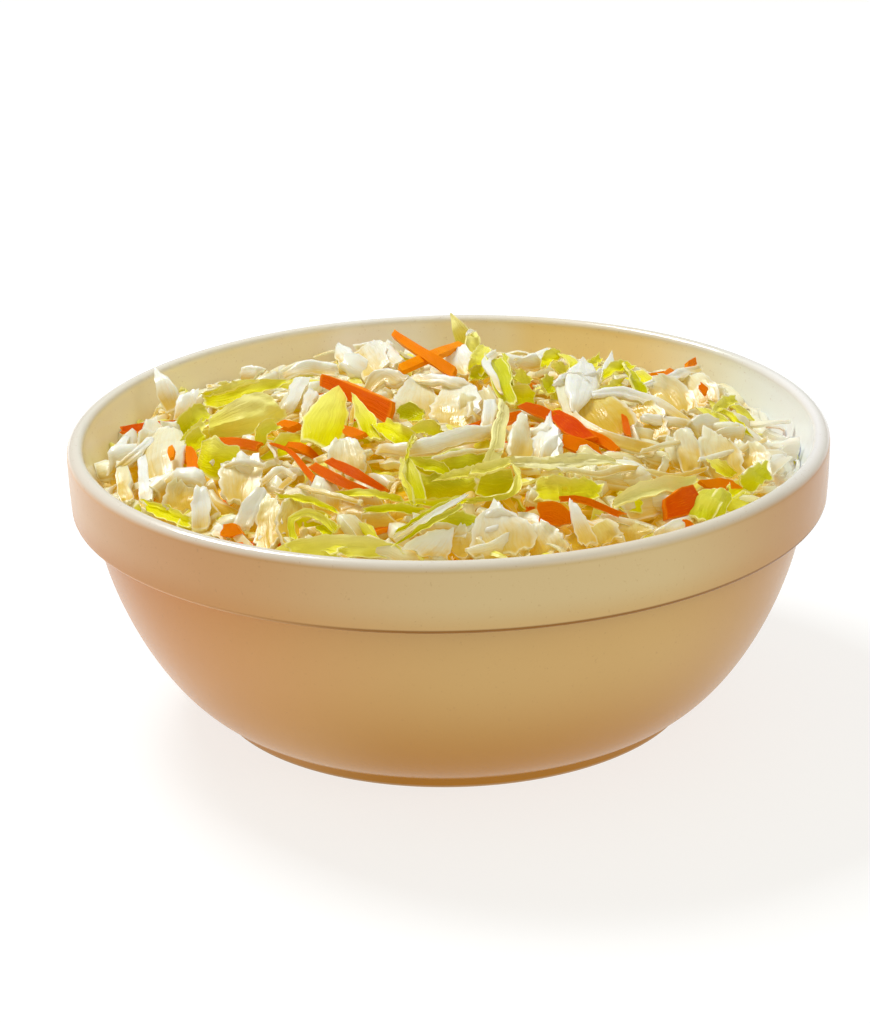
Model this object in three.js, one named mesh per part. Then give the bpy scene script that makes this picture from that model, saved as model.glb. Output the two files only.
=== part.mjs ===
// A serving of coleslaw in a glazed stoneware bowl. Millimetres, +Z up.
// The origin is the centre of the foot's underside, which stands on the table.
// Two pieces: the bowl, turned about Z, and the heap of slaw that fills it.

import * as THREE from "three";

// ---- Bowl sizes -------------------------------------------------------------------------
const RIM_RADIUS = 70; // outermost, just under the rounded lip
const BOWL_HEIGHT = 52.4;
const LIP_OUTER_ROUND = 1.8;
const LIP_INNER_ROUND = 1.2;
const BAND_BOTTOM = 40; // underside of the thick band that strengthens the rim
const BAND_FOOT_RADIUS = 69.7; // the band tapers in a little towards its lower edge
const BAND_EDGE_ROUND = 0.7;
const BODY_TOP_RADIUS = 65.7; // the wall where it goes up under the band
const FOOT_RADIUS = 45.2;
const FOOT_HEIGHT = 2;
const FOOT_RING_WIDTH = 5;
const FOOT_RECESS = 1.4; // how far the underside is hollowed inside the foot ring
const FOOT_RING_BEVEL = 0.8;
const FOOT_STEP = 0.4; // how far the wall stands out over the foot ring
const FLOOR_DISH = 0.8; // how much lower the floor is at its centre
const BODY_BELLY = [
  [55.7, 6.3],
  [65.5, 27.3],
]; // the two handles of the curve from foot to band, as radius and height
const FLOOR_EDGE = [40, 6.2]; // where the inside wall starts to rise
const INSIDE_BELLY = [
  [54, 8],
  [58.5, 30],
]; // the same for the inside, which leaves a wall of 3 to 5 mm

// ---- Slaw sizes -------------------------------------------------------------------------
const GAP = 0.4; // between the slaw and the glaze
const SLAW_EDGE = 44.6; // where the heap meets the wall
const SLAW_EDGE_WAVE = 0.9;
const DOME_RISE = 8.8; // from the edge to the middle
const DOME_POWER = 2.3;
const SHRED_COUNT = 170;
const SHRED_LENGTH = [10, 24];
const SHRED_HALF_WIDTH = [2.8, 4.6];
const SHRED_RISE = [0.6, 3];
const EDGE_FADE = 0.2; // the outer share of the radius where shreds lie flatter
const RAISED_SHREDS = [
  { at: [1, 38], heading: 100, length: 15, halfWidth: 6.5, rise: 9.4 },
  { at: [-11, 33], heading: 155, length: 18, halfWidth: 5.5, rise: 5 },
  { at: [22, 30], heading: 20, length: 18, halfWidth: 5.5, rise: 4.5 },
]; // the tallest few, as place, heading in degrees, size and rise above the dome
const TUCKED_END = 0.45; // how much of its rise a shred keeps at the end that is tucked in
const SHRED_SEED = 20261;
const EDGE_WAVES = [
  { lobes: 3, start: 0.7, share: 0.6 },
  { lobes: 7, start: 2.1, share: 0.4 },
]; // the ups and downs of the heap's edge

// ---- Fineness ---------------------------------------------------------------------------
const SEGMENTS = 72;
const BODY_STEPS = 9;
const INSIDE_STEPS = 11;
const ROUND_STEPS = 4;
const BAND_STEPS = 3;
const HEAP_RINGS = 20; // each ring has SECTORS more corners than the one inside it
const SECTORS = 6;
const HEAP_SIDE_RINGS = 6;

const BOWL_COLOUR = 0xe2c79c;
const SLAW_COLOUR = 0xf0e4bd;

// ---- Small helpers ----------------------------------------------------------------------
const point = (radius, height) => new THREE.Vector2(radius, height);

function curvePoints(from, handleA, handleB, to, steps) {
  const curve = new THREE.CubicBezierCurve(
    from,
    point(...handleA),
    point(...handleB),
    to,
  );
  return curve.getPoints(steps);
}

// Points on an ellipse's arc, from one angle to another in degrees, about a centre.
function arcPoints(centre, radiusX, radiusY, fromDeg, toDeg, steps) {
  const from = THREE.MathUtils.degToRad(fromDeg);
  const to = THREE.MathUtils.degToRad(toDeg);
  return Array.from({ length: steps + 1 }, (_, i) => {
    const angle = from + ((to - from) * i) / steps;
    return point(
      centre.x + radiusX * Math.cos(angle),
      centre.y + radiusY * Math.sin(angle),
    );
  });
}

// A repeatable stream of numbers from 0 to 1, each worked out from the last.
function numberStream(seed) {
  const factor = 16807;
  const modulus = 2 ** 31 - 1;
  let state = seed;
  return () => {
    state = (state * factor) % modulus;
    return state / modulus;
  };
}

// ---- Bowl -------------------------------------------------------------------------------
// The outer wall from the foot up to the underside of the band.
function outerWall() {
  return curvePoints(
    point(FOOT_RADIUS + FOOT_STEP, FOOT_HEIGHT),
    ...BODY_BELLY,
    point(BODY_TOP_RADIUS, BAND_BOTTOM),
    BODY_STEPS,
  );
}

// The inside wall from the floor's edge up to the lip's rounding.
function innerWall() {
  return curvePoints(
    point(...FLOOR_EDGE),
    ...INSIDE_BELLY,
    point(
      RIM_RADIUS - LIP_OUTER_ROUND - LIP_INNER_ROUND,
      BOWL_HEIGHT - LIP_INNER_ROUND,
    ),
    INSIDE_STEPS,
  );
}

function makeBowl() {
  const inner = innerWall();
  const floorEdge = inner[0];
  const lipCentre = point(
    RIM_RADIUS - LIP_OUTER_ROUND,
    BOWL_HEIGHT - LIP_OUTER_ROUND,
  );
  const edgeCentre = point(
    BAND_FOOT_RADIUS - BAND_EDGE_ROUND,
    BAND_BOTTOM + BAND_EDGE_ROUND,
  );
  const bandWall = Array.from({ length: BAND_STEPS }, (_, i) => {
    const share = (i + 1) / (BAND_STEPS + 1);
    const swell = 1 - (1 - share) ** 2; // fullest near the top
    return point(
      BAND_FOOT_RADIUS + (RIM_RADIUS - BAND_FOOT_RADIUS) * swell,
      THREE.MathUtils.lerp(edgeCentre.y, lipCentre.y, share),
    );
  });
  const profile = [
    point(0, FOOT_RECESS),
    point(FOOT_RADIUS - FOOT_RING_WIDTH - FOOT_RING_BEVEL, FOOT_RECESS),
    point(FOOT_RADIUS - FOOT_RING_WIDTH, 0),
    point(FOOT_RADIUS, 0),
    ...outerWall(),
    ...arcPoints(edgeCentre, BAND_EDGE_ROUND, BAND_EDGE_ROUND, -90, 0, 2),
    ...bandWall,
    ...arcPoints(lipCentre, LIP_OUTER_ROUND, LIP_OUTER_ROUND, 0, 90, ROUND_STEPS),
    ...arcPoints(
      point(lipCentre.x, BOWL_HEIGHT - LIP_INNER_ROUND),
      LIP_INNER_ROUND,
      LIP_INNER_ROUND,
      90,
      180,
      ROUND_STEPS,
    ).slice(1, -1),
    ...inner.reverse(),
    point(0, floorEdge.y - FLOOR_DISH),
  ];
  // LatheGeometry turns about Y, so the result is stood up along Z.
  const geometry = new THREE.LatheGeometry(profile, SEGMENTS).rotateX(
    Math.PI / 2,
  );
  const glaze = new THREE.MeshStandardMaterial({
    color: BOWL_COLOUR,
    roughness: 0.22,
    metalness: 0,
  });
  const bowl = new THREE.Mesh(geometry, glaze);
  bowl.name = "bowl";
  return bowl;
}

// ---- Slaw -------------------------------------------------------------------------------
// The heap's radius at a height, on the wall less the gap.
function cavityRadius(height) {
  const wall = innerWall();
  const upper = wall.findIndex((p) => p.y >= height);
  if (upper <= 0) return (upper === 0 ? wall[0].x : wall[wall.length - 1].x) - GAP;
  const [low, high] = [wall[upper - 1], wall[upper]];
  const share = (height - low.y) / (high.y - low.y);
  return THREE.MathUtils.lerp(low.x, high.x, share) - GAP;
}

// Where each shred of the heap lies, how big it is and how far it stands up.
function layShreds() {
  const next = numberStream(SHRED_SEED);
  const between = ([low, high]) => low + (high - low) * next();
  const reach = cavityRadius(SLAW_EDGE);
  const shreds = Array.from({ length: SHRED_COUNT }, () => {
    const radius = reach * Math.sqrt(next());
    const around = 2 * Math.PI * next();
    return {
      at: [radius * Math.cos(around), radius * Math.sin(around)],
      heading: 180 * next(),
      length: between(SHRED_LENGTH),
      halfWidth: between(SHRED_HALF_WIDTH),
      rise: between(SHRED_RISE),
    };
  });
  return [...shreds, ...RAISED_SHREDS];
}

// How far the shreds lift the surface at x, y: a rounded ridge along each, one end of which
// is tucked under its neighbours. The highest counts.
function shredRelief(shreds, x, y) {
  return shreds.reduce((highest, shred) => {
    const heading = THREE.MathUtils.degToRad(shred.heading);
    const dx = x - shred.at[0];
    const dy = y - shred.at[1];
    const along = dx * Math.cos(heading) + dy * Math.sin(heading);
    const across = -dx * Math.sin(heading) + dy * Math.cos(heading);
    const halfLength = shred.length / 2;
    const beyond = Math.max(Math.abs(along) - halfLength, 0);
    const away = Math.hypot(beyond, across) / shred.halfWidth;
    const upEnd = THREE.MathUtils.clamp(0.5 + along / shred.length, 0, 1);
    const rise = shred.rise * THREE.MathUtils.lerp(TUCKED_END, 1, upEnd);
    return Math.max(highest, rise * (1 - away * away));
  }, 0);
}

function edgeHeight(angle) {
  return EDGE_WAVES.reduce(
    (height, { lobes, start, share }) =>
      height + SLAW_EDGE_WAVE * share * Math.sin(lobes * angle + start),
    SLAW_EDGE,
  );
}

// The triangles between a ring and the next one out, which has SECTORS more corners.
function widenRing(faces, inner, outer) {
  const perSector = inner.count / SECTORS;
  for (let sector = 0; sector < SECTORS; sector++) {
    const innerAt = (j) => inner.first + ((sector * perSector + j) % inner.count);
    const outerAt = (j) =>
      outer.first + ((sector * (perSector + 1) + j) % outer.count);
    for (let j = 0; j <= perSector; j++) {
      faces.push(innerAt(j), outerAt(j), outerAt(j + 1));
      if (j < perSector) faces.push(innerAt(j), outerAt(j + 1), innerAt(j + 1));
    }
  }
}

// The triangles between two rings of as many corners, the first above the second.
function joinRings(faces, first, second) {
  for (let j = 0; j < first.count; j++) {
    const k = (j + 1) % first.count;
    faces.push(first.first + j, second.first + j, second.first + k);
    faces.push(first.first + j, second.first + k, first.first + k);
  }
}

function makeSlaw() {
  const shreds = layShreds();
  const positions = [];
  const faces = [];
  const addRing = (count, place) => {
    const first = positions.length / 3;
    for (let j = 0; j < count; j++) {
      positions.push(...place((2 * Math.PI * j) / count));
    }
    return { first, count };
  };

  // The uneven top, ring by ring from the middle out to the wall.
  const topHeight = (share, angle, x, y) => {
    const edge = THREE.MathUtils.lerp(SLAW_EDGE, edgeHeight(angle), share);
    const dome = DOME_RISE * (1 - share ** DOME_POWER);
    const flatter = THREE.MathUtils.smoothstep(1 - share, 0, EDGE_FADE);
    return edge + dome + shredRelief(shreds, x, y) * flatter;
  };
  const ringAt = (share, count) =>
    addRing(count, (angle) => {
      const radius = share * cavityRadius(edgeHeight(angle));
      const x = radius * Math.cos(angle);
      const y = radius * Math.sin(angle);
      return [x, y, topHeight(share, angle, x, y)];
    });
  positions.push(0, 0, topHeight(0, 0, 0, 0));
  let ring = ringAt(1 / HEAP_RINGS, SECTORS);
  for (let j = 0; j < SECTORS; j++) {
    faces.push(0, ring.first + j, ring.first + ((j + 1) % SECTORS));
  }
  for (let i = 2; i <= HEAP_RINGS; i++) {
    const wider = ringAt(i / HEAP_RINGS, SECTORS * i);
    widenRing(faces, ring, wider);
    ring = wider;
  }

  // The side, down the inside of the bowl to its floor.
  const floor = FLOOR_EDGE[1] + GAP;
  for (let i = 1; i <= HEAP_SIDE_RINGS; i++) {
    const drop = Math.sin((Math.PI / 2) * (i / HEAP_SIDE_RINGS)); // closer near the floor
    const lower = addRing(ring.count, (angle) => {
      const height = THREE.MathUtils.lerp(edgeHeight(angle), floor, drop);
      const radius = cavityRadius(height);
      return [radius * Math.cos(angle), radius * Math.sin(angle), height];
    });
    joinRings(faces, ring, lower);
    ring = lower;
  }
  const bottom = positions.length / 3;
  positions.push(0, 0, floor - FLOOR_DISH);
  for (let j = 0; j < ring.count; j++) {
    faces.push(bottom, ring.first + ((j + 1) % ring.count), ring.first + j);
  }

  const geometry = new THREE.BufferGeometry();
  geometry.setAttribute(
    "position",
    new THREE.Float32BufferAttribute(positions, 3),
  );
  geometry.setIndex(faces);
  geometry.computeVertexNormals();
  const dressed = new THREE.MeshStandardMaterial({
    color: SLAW_COLOUR,
    roughness: 0.4,
    metalness: 0,
  });
  const slaw = new THREE.Mesh(geometry, dressed);
  slaw.name = "coleslaw";
  return slaw;
}

const serving = new THREE.Group();
serving.add(makeBowl(), makeSlaw());

export default serving;
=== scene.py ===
import math

import bpy
import numpy as np
from mathutils import Matrix, Vector


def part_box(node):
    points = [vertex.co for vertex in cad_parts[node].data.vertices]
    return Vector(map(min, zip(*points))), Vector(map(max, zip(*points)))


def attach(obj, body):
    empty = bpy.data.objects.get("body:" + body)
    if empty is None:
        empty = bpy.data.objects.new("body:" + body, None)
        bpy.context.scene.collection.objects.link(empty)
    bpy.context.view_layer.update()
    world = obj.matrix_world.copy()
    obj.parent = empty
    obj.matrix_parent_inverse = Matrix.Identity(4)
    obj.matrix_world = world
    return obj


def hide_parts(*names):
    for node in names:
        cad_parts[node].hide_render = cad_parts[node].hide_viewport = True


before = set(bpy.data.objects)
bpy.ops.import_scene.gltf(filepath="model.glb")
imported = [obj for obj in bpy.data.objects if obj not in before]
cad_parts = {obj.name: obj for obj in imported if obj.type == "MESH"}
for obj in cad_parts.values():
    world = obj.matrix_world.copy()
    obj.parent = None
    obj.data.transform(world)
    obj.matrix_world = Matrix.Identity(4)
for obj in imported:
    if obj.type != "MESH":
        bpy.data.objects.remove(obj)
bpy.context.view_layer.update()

# ---- Camera -----------------------------------------------------------------------------
# A long lens on a stand in front of the bowl, looking down into it at a shallow angle. It
# leans over a little, so that the table seems to rise to the right. Sizes are millimetres
# here and in every section below, and each mesh is turned into metres when it is made.
FRAME_WIDTH = 870  # pixels
FRAME_HEIGHT = 1023
FOCAL_LENGTH = 2800  # pixels
SENSOR_LONG_SIDE = 36
CAMERA_DISTANCE = 523
CAMERA_ELEVATION = math.radians(20.88)
CAMERA_ROLL = math.radians(1.35)
CAMERA_AIM = np.array([-2.72, 0, 35])
CAMERA_NEAREST = 10  # nothing nearer to it than this is seen
METRES = 0.001  # one millimetre

camera_forward = np.array([0, math.cos(CAMERA_ELEVATION), -math.sin(CAMERA_ELEVATION)])
level_right = np.array([1, 0, 0])
level_up = np.array([0, math.sin(CAMERA_ELEVATION), math.cos(CAMERA_ELEVATION)])
camera_right = level_right * math.cos(CAMERA_ROLL) - level_up * math.sin(CAMERA_ROLL)
camera_up = level_right * math.sin(CAMERA_ROLL) + level_up * math.cos(CAMERA_ROLL)
camera_place = CAMERA_AIM - camera_forward * CAMERA_DISTANCE

camera_data = bpy.data.cameras.new("camera")
camera_data.sensor_fit = "AUTO"
camera_data.sensor_width = SENSOR_LONG_SIDE
camera_data.lens = FOCAL_LENGTH / FRAME_HEIGHT * SENSOR_LONG_SIDE
camera_data.clip_start = CAMERA_NEAREST * METRES
camera = bpy.data.objects.new("camera", camera_data)
camera_axes = np.column_stack([camera_right, camera_up, -camera_forward])
camera.matrix_world = (
    Matrix.Translation(camera_place * METRES) @ Matrix(camera_axes.tolist()).to_4x4()
)
bpy.context.scene.collection.objects.link(camera)
bpy.context.scene.camera = camera


# ---- Table top --------------------------------------------------------------------------
# A plain white light table, far larger than the bowl, with a soft sheen. It is only there
# to stand the bowl on. The classes that build node trees start here.
class Wire:
    """A node's output. Python's operators on it add Math nodes to its board."""

    def __init__(self, board, socket):
        self.board = board
        self.socket = socket

    def maths(self, operation, *values):
        return self.board.node("ShaderNodeMath", {"operation": operation}, dict(enumerate(values)))[0]

    def __add__(self, other):
        return self.maths("ADD", self, other)

    def __radd__(self, other):
        return self.maths("ADD", other, self)

    def __sub__(self, other):
        return self.maths("SUBTRACT", self, other)

    def __rsub__(self, other):
        return self.maths("SUBTRACT", other, self)

    def __mul__(self, other):
        return self.maths("MULTIPLY", self, other)

    def __rmul__(self, other):
        return self.maths("MULTIPLY", other, self)

    def __truediv__(self, other):
        return self.maths("DIVIDE", self, other)

    def __pow__(self, other):
        return self.maths("POWER", self, other)

    def __abs__(self):
        return self.maths("ABSOLUTE", self)


class Made:
    """A node on a board, whose outputs are found by name, identifier or number."""

    def __init__(self, board, node):
        self.board = board
        self.node = node

    def __getitem__(self, key):
        return Wire(self.board, find_socket(self.node.outputs, key))


def find_socket(sockets, key):
    """The socket with this number, or the one in use that has this name or identifier."""
    if isinstance(key, int):
        return sockets[key]
    named = [s for s in sockets if s.enabled and key in (s.name, s.identifier)]
    return named[0]


class Board:
    """A node tree being built. Its node method makes every node."""

    def __init__(self, tree):
        self.tree = tree
        tree.nodes.clear()

    def node(self, kind, settings=None, sockets=None):
        made = self.tree.nodes.new(kind)
        for name, value in (settings or {}).items():
            setattr(made, name, value)
        for key, value in (sockets or {}).items():
            socket = find_socket(made.inputs, key)
            if isinstance(value, Wire):
                self.tree.links.new(value.socket, socket)
            else:
                socket.default_value = value
        return Made(self, made)

    def mix(self, share, first, second):
        """One colour turning into the other as share goes from 0 to 1."""
        sockets = {"Factor_Float": share, "A_Color": first, "B_Color": second}
        return self.node("ShaderNodeMix", {"data_type": "RGBA"}, sockets)["Result_Color"]

    def steps(self, value, low, high):
        """0 below low and 1 above high, smooth between."""
        settings = {"interpolation_type": "SMOOTHSTEP"}
        sockets = {"Value": value, "From Min": low, "From Max": high}
        return self.node("ShaderNodeMapRange", settings, sockets)["Result"]

    def grain(self, coordinates, scale, detail=2, roughness=0.5):
        """Noise of about scale bumps to the metre, from 0 to 1."""
        sockets = {"Vector": coordinates, "Scale": scale, "Detail": detail, "Roughness": roughness}
        return self.node("ShaderNodeTexNoise", None, sockets)["Fac"]

    def bump(self, height, distance, strength=1.0, under=None):
        """A normal for surface relief of this height in metres."""
        sockets = {"Height": height, "Distance": distance, "Strength": strength}
        if under is not None:
            sockets["Normal"] = under
        return self.node("ShaderNodeBump", None, sockets)["Normal"]


def rgb(red, green, blue):
    """A colour as the eye names it, 0 to 255, in the linear light that nodes take."""
    def linear(value):
        share = value / 255
        return share / 12.92 if share <= 0.04045 else ((share + 0.055) / 1.055) ** 2.4

    return (linear(red), linear(green), linear(blue), 1.0)


def new_material(name):
    """A material with an empty board, and the function that gives it its surface."""
    material = bpy.data.materials.new(name)
    material.use_nodes = True
    board = Board(material.node_tree)

    def finish(sockets):
        shader = board.node("ShaderNodeBsdfPrincipled", None, sockets)
        board.node("ShaderNodeOutputMaterial", None, {"Surface": shader["BSDF"]})

    return material, board, finish


TABLE_HALF_SIDE = 3000
TABLE_GLOW = 0.74
TABLE_WHITE = rgb(148, 151, 154)
TABLE_MOTTLE = rgb(152, 155, 158)


def table_finish():
    material, board, finish = new_material("white_board")
    place = board.node("ShaderNodeTexCoord")["Object"]
    mottle = board.grain(place, 6, detail=3)
    finish(
        {
            "Base Color": board.mix(mottle, TABLE_WHITE, TABLE_MOTTLE),
            "Roughness": 0.6,
            "Specular IOR Level": 0.2,
            "Emission Color": (1.0, 1.0, 1.0, 1.0),
            "Emission Strength": TABLE_GLOW,
        }
    )
    return material


def new_piece(name, points, faces, material=None):
    """A mesh object at the origin from points in millimetres."""
    mesh = bpy.data.meshes.new(name)
    mesh.from_pydata((np.asarray(points, dtype=float) * METRES).tolist(), [], faces)
    if material:
        mesh.materials.append(material)
    piece = bpy.data.objects.new(name, mesh)
    bpy.context.scene.collection.objects.link(piece)
    return piece


half = TABLE_HALF_SIDE
table = new_piece(
    "table_top",
    [(-half, -half, 0), (half, -half, 0), (half, half, 0), (-half, half, 0)],
    [(0, 1, 2, 3)],
    table_finish(),
)


# ---- Light ------------------------------------------------------------------------------
# A white room: the ceiling and the far wall are bright, and the near wall is warmer, most
# of all on the left. A soft lamp hangs behind the bowl to the left, and a larger, weaker
# one fills in from the front right.
SKY_WHITE = (1.0, 0.94, 0.8, 1.0)
NEAR_LEFT = (0.9, 0.66, 0.36, 1.0)
NEAR_RIGHT = (0.8, 0.7, 0.4, 1.0)
SKY_STRENGTH = 0.5
NEAR_LEFT_TO_RIGHT = (-0.7, 0.5)  # shares of a direction, over which the colours change
NEAR_TO_FAR = (-0.3, 0.7)


def light_room():
    """The room's own light, by the direction it comes from."""
    world = bpy.data.worlds.new("room")
    world.use_nodes = True
    board = Board(world.node_tree)
    direction = board.node("ShaderNodeTexCoord")["Generated"]
    axes = board.node("ShaderNodeSeparateXYZ", None, {"Vector": direction})
    near = board.mix(board.steps(axes["X"], *NEAR_LEFT_TO_RIGHT), NEAR_LEFT, NEAR_RIGHT)
    towards_far = board.steps(axes["Y"] + 0.35 * axes["X"] + 0.7 * axes["Z"], *NEAR_TO_FAR)
    colour = board.mix(towards_far, near, SKY_WHITE)
    sky = board.node("ShaderNodeBackground", None, {"Color": colour, "Strength": SKY_STRENGTH})
    board.node("ShaderNodeOutputWorld", None, {"Surface": sky["Background"]})
    bpy.context.scene.world = world


def add_lamp(name, place, aim, side, power, colour):
    """A square soft lamp at a place, turned to face a point."""
    data = bpy.data.lights.new(name, "AREA")
    data.shape = "SQUARE"
    data.size = side * METRES
    data.energy = power
    data.color = colour
    lamp = bpy.data.objects.new(name, data)
    back = Vector(np.subtract(place, aim).tolist())
    turn = back.to_track_quat("Z", "Y").to_matrix().to_4x4()
    lamp.matrix_world = Matrix.Translation(np.multiply(place, METRES)) @ turn
    bpy.context.scene.collection.objects.link(lamp)


light_room()
add_lamp("key", (-380, 400, 840), aim=(0, 0, 45), side=300, power=7.2, colour=(0.93, 0.98, 1.0))
add_lamp("fill", (560, -560, 560), aim=(0, 0, 40), side=500, power=1.0, colour=(1.0, 0.95, 0.88))
bpy.context.scene.view_settings.view_transform = "Standard"


# ---- Bowl -------------------------------------------------------------------------------
# A small heavy stoneware bowl, turned on a wheel: foot ring, rounded body, a thick band
# that strengthens the rim, and a narrow rounded lip. It is dipped in a glossy glaze, tan
# outside and ivory inside, which runs thin and pale over the lip. Light and shade are
# painted into the glaze by side. There is painted shade in the corner under the band, to
# the right and towards the foot, and painted warm light to the left. Inside there is
# painted light, golden bounce light and a painted reflection. The foot ring is wiped bare.
bowl_high = np.array(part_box("bowl")[1]) / METRES
RIM_RADIUS = bowl_high[0]
BOWL_HEIGHT = bowl_high[2]
LIP_OUTER_ROUND = 1.8
LIP_INNER_ROUND = 1.2
BAND_BOTTOM = 40
BAND_FOOT_RADIUS = RIM_RADIUS - 0.3
BAND_EDGE_ROUND = 0.7
BODY_TOP_RADIUS = RIM_RADIUS - 4.3
FOOT_RADIUS = 45.2
FOOT_HEIGHT = 2
FOOT_RING_WIDTH = 5
FOOT_RECESS = 1.4
FOOT_RING_BEVEL = 0.8
FOOT_STEP = 0.4
FOOT_EDGE_ROUND = 0.5
FLOOR_DISH = 0.8
BODY_BELLY = [(55.7, 6.3), (65.5, 27.3)]  # handles of the curve from foot to band
FLOOR_EDGE = (40, 6.2)
INSIDE_BELLY = [(54, 8), (58.5, 30)]  # the same for the inside
BOWL_SEGMENTS = 240
BOWL_CRISP = 40  # degrees between faces, past which an edge stays sharp
WELD = 0.001  # points nearer than this to each other become one
IVORY_START = 12  # outline points before the lip's top, where the outside glaze ends
IVORY_BLEND = 14  # outline points over which the two glazes run together
BAND_HEIGHTS = (BAND_BOTTOM - 1.5, BAND_BOTTOM + 6)  # from where a glaze begins to where it is full
LIP_HEIGHTS = (BOWL_HEIGHT - 1.5, BOWL_HEIGHT - 0.4)
BARE_FOOT_HEIGHTS = (0.25, 0.7)


def curve(start, handles, end, steps):
    """Points on the Bezier curve between two (radius, height) points."""
    t = np.linspace(0, 1, steps + 1)[:, None]
    a, b, c, d = (np.array(p, dtype=float) for p in (start, *handles, end))
    return (1 - t) ** 3 * a + 3 * (1 - t) ** 2 * t * b + 3 * (1 - t) * t**2 * c + t**3 * d


def arc(centre, radius, start, end, steps):
    """Points on a round between two angles in degrees."""
    angle = np.radians(np.linspace(start, end, steps + 1))
    return np.array(centre) + radius * np.column_stack([np.cos(angle), np.sin(angle)])


def inside_wall(steps=48):
    """The inside of the bowl in (radius, height), from the floor's edge up to the lip."""
    top = (RIM_RADIUS - LIP_OUTER_ROUND - LIP_INNER_ROUND, BOWL_HEIGHT - LIP_INNER_ROUND)
    return curve(FLOOR_EDGE, INSIDE_BELLY, top, steps)


def bowl_outline():
    """(radius, height) points from the middle underneath, up the outside and down inside."""
    ring_inner = FOOT_RADIUS - FOOT_RING_WIDTH
    lip = (RIM_RADIUS - LIP_OUTER_ROUND, BOWL_HEIGHT - LIP_OUTER_ROUND)
    band_edge = (BAND_FOOT_RADIUS - BAND_EDGE_ROUND, BAND_BOTTOM + BAND_EDGE_ROUND)
    underneath = [
        (0, FOOT_RECESS),
        (ring_inner / 2, FOOT_RECESS),
        (ring_inner - FOOT_RING_BEVEL, FOOT_RECESS),
    ]
    foot_inner = arc((ring_inner + FOOT_EDGE_ROUND, FOOT_EDGE_ROUND), FOOT_EDGE_ROUND, 200, 270, 4)
    foot_outer = arc((FOOT_RADIUS - FOOT_EDGE_ROUND, FOOT_EDGE_ROUND), FOOT_EDGE_ROUND, -90, 0, 5)
    outside = curve((FOOT_RADIUS + FOOT_STEP, FOOT_HEIGHT), BODY_BELLY, (BODY_TOP_RADIUS, BAND_BOTTOM), 44)
    share = np.linspace(0.1, 0.9, 7)
    swell = 1 - (1 - share) ** 2
    band = np.column_stack(
        [
            BAND_FOOT_RADIUS + (RIM_RADIUS - BAND_FOOT_RADIUS) * swell,
            band_edge[1] + (lip[1] - band_edge[1]) * share,
        ]
    )
    return np.vstack(
        [
            underneath,
            foot_inner,
            foot_outer,
            outside,
            arc(band_edge, BAND_EDGE_ROUND, -90, 0, 6),
            band,
            arc(lip, LIP_OUTER_ROUND, 0, 90, 14),
            arc((lip[0], BOWL_HEIGHT - LIP_INNER_ROUND), LIP_INNER_ROUND, 90, 180, 14)[1:-1],
            inside_wall()[::-1],
            [(FLOOR_EDGE[0] / 2, FLOOR_EDGE[1] - FLOOR_DISH * 0.8), (0, FLOOR_EDGE[1] - FLOOR_DISH)],
        ]
    )


def new_tree(name, inputs):
    """A Geometry Nodes tree with these inputs, its board and the node they come in by."""
    tree = bpy.data.node_groups.new(name, "GeometryNodeTree")
    tree.interface.new_socket("Geometry", in_out="OUTPUT", socket_type="NodeSocketGeometry")
    tree.interface.new_socket("Geometry", in_out="INPUT", socket_type="NodeSocketGeometry")
    for label, kind in inputs.items():
        tree.interface.new_socket(label, in_out="INPUT", socket_type=kind)
    board = Board(tree)
    entry = board.node("NodeGroupInput")
    return tree, board, entry


def apply_tree(piece, tree, values):
    """Runs the tree on the piece with these inputs and keeps the result as its plain mesh."""
    modifier = piece.modifiers.new(tree.name, "NODES")
    modifier.node_group = tree
    for item in tree.interface.items_tree:
        if item.in_out == "INPUT" and item.name in values:
            modifier[item.identifier] = values[item.name]
    bpy.context.view_layer.update()
    evaluated = piece.evaluated_get(bpy.context.evaluated_depsgraph_get())
    mesh = bpy.data.meshes.new_from_object(evaluated)
    piece.modifiers.remove(modifier)
    piece.data = mesh
    mesh.name = piece.name


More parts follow.
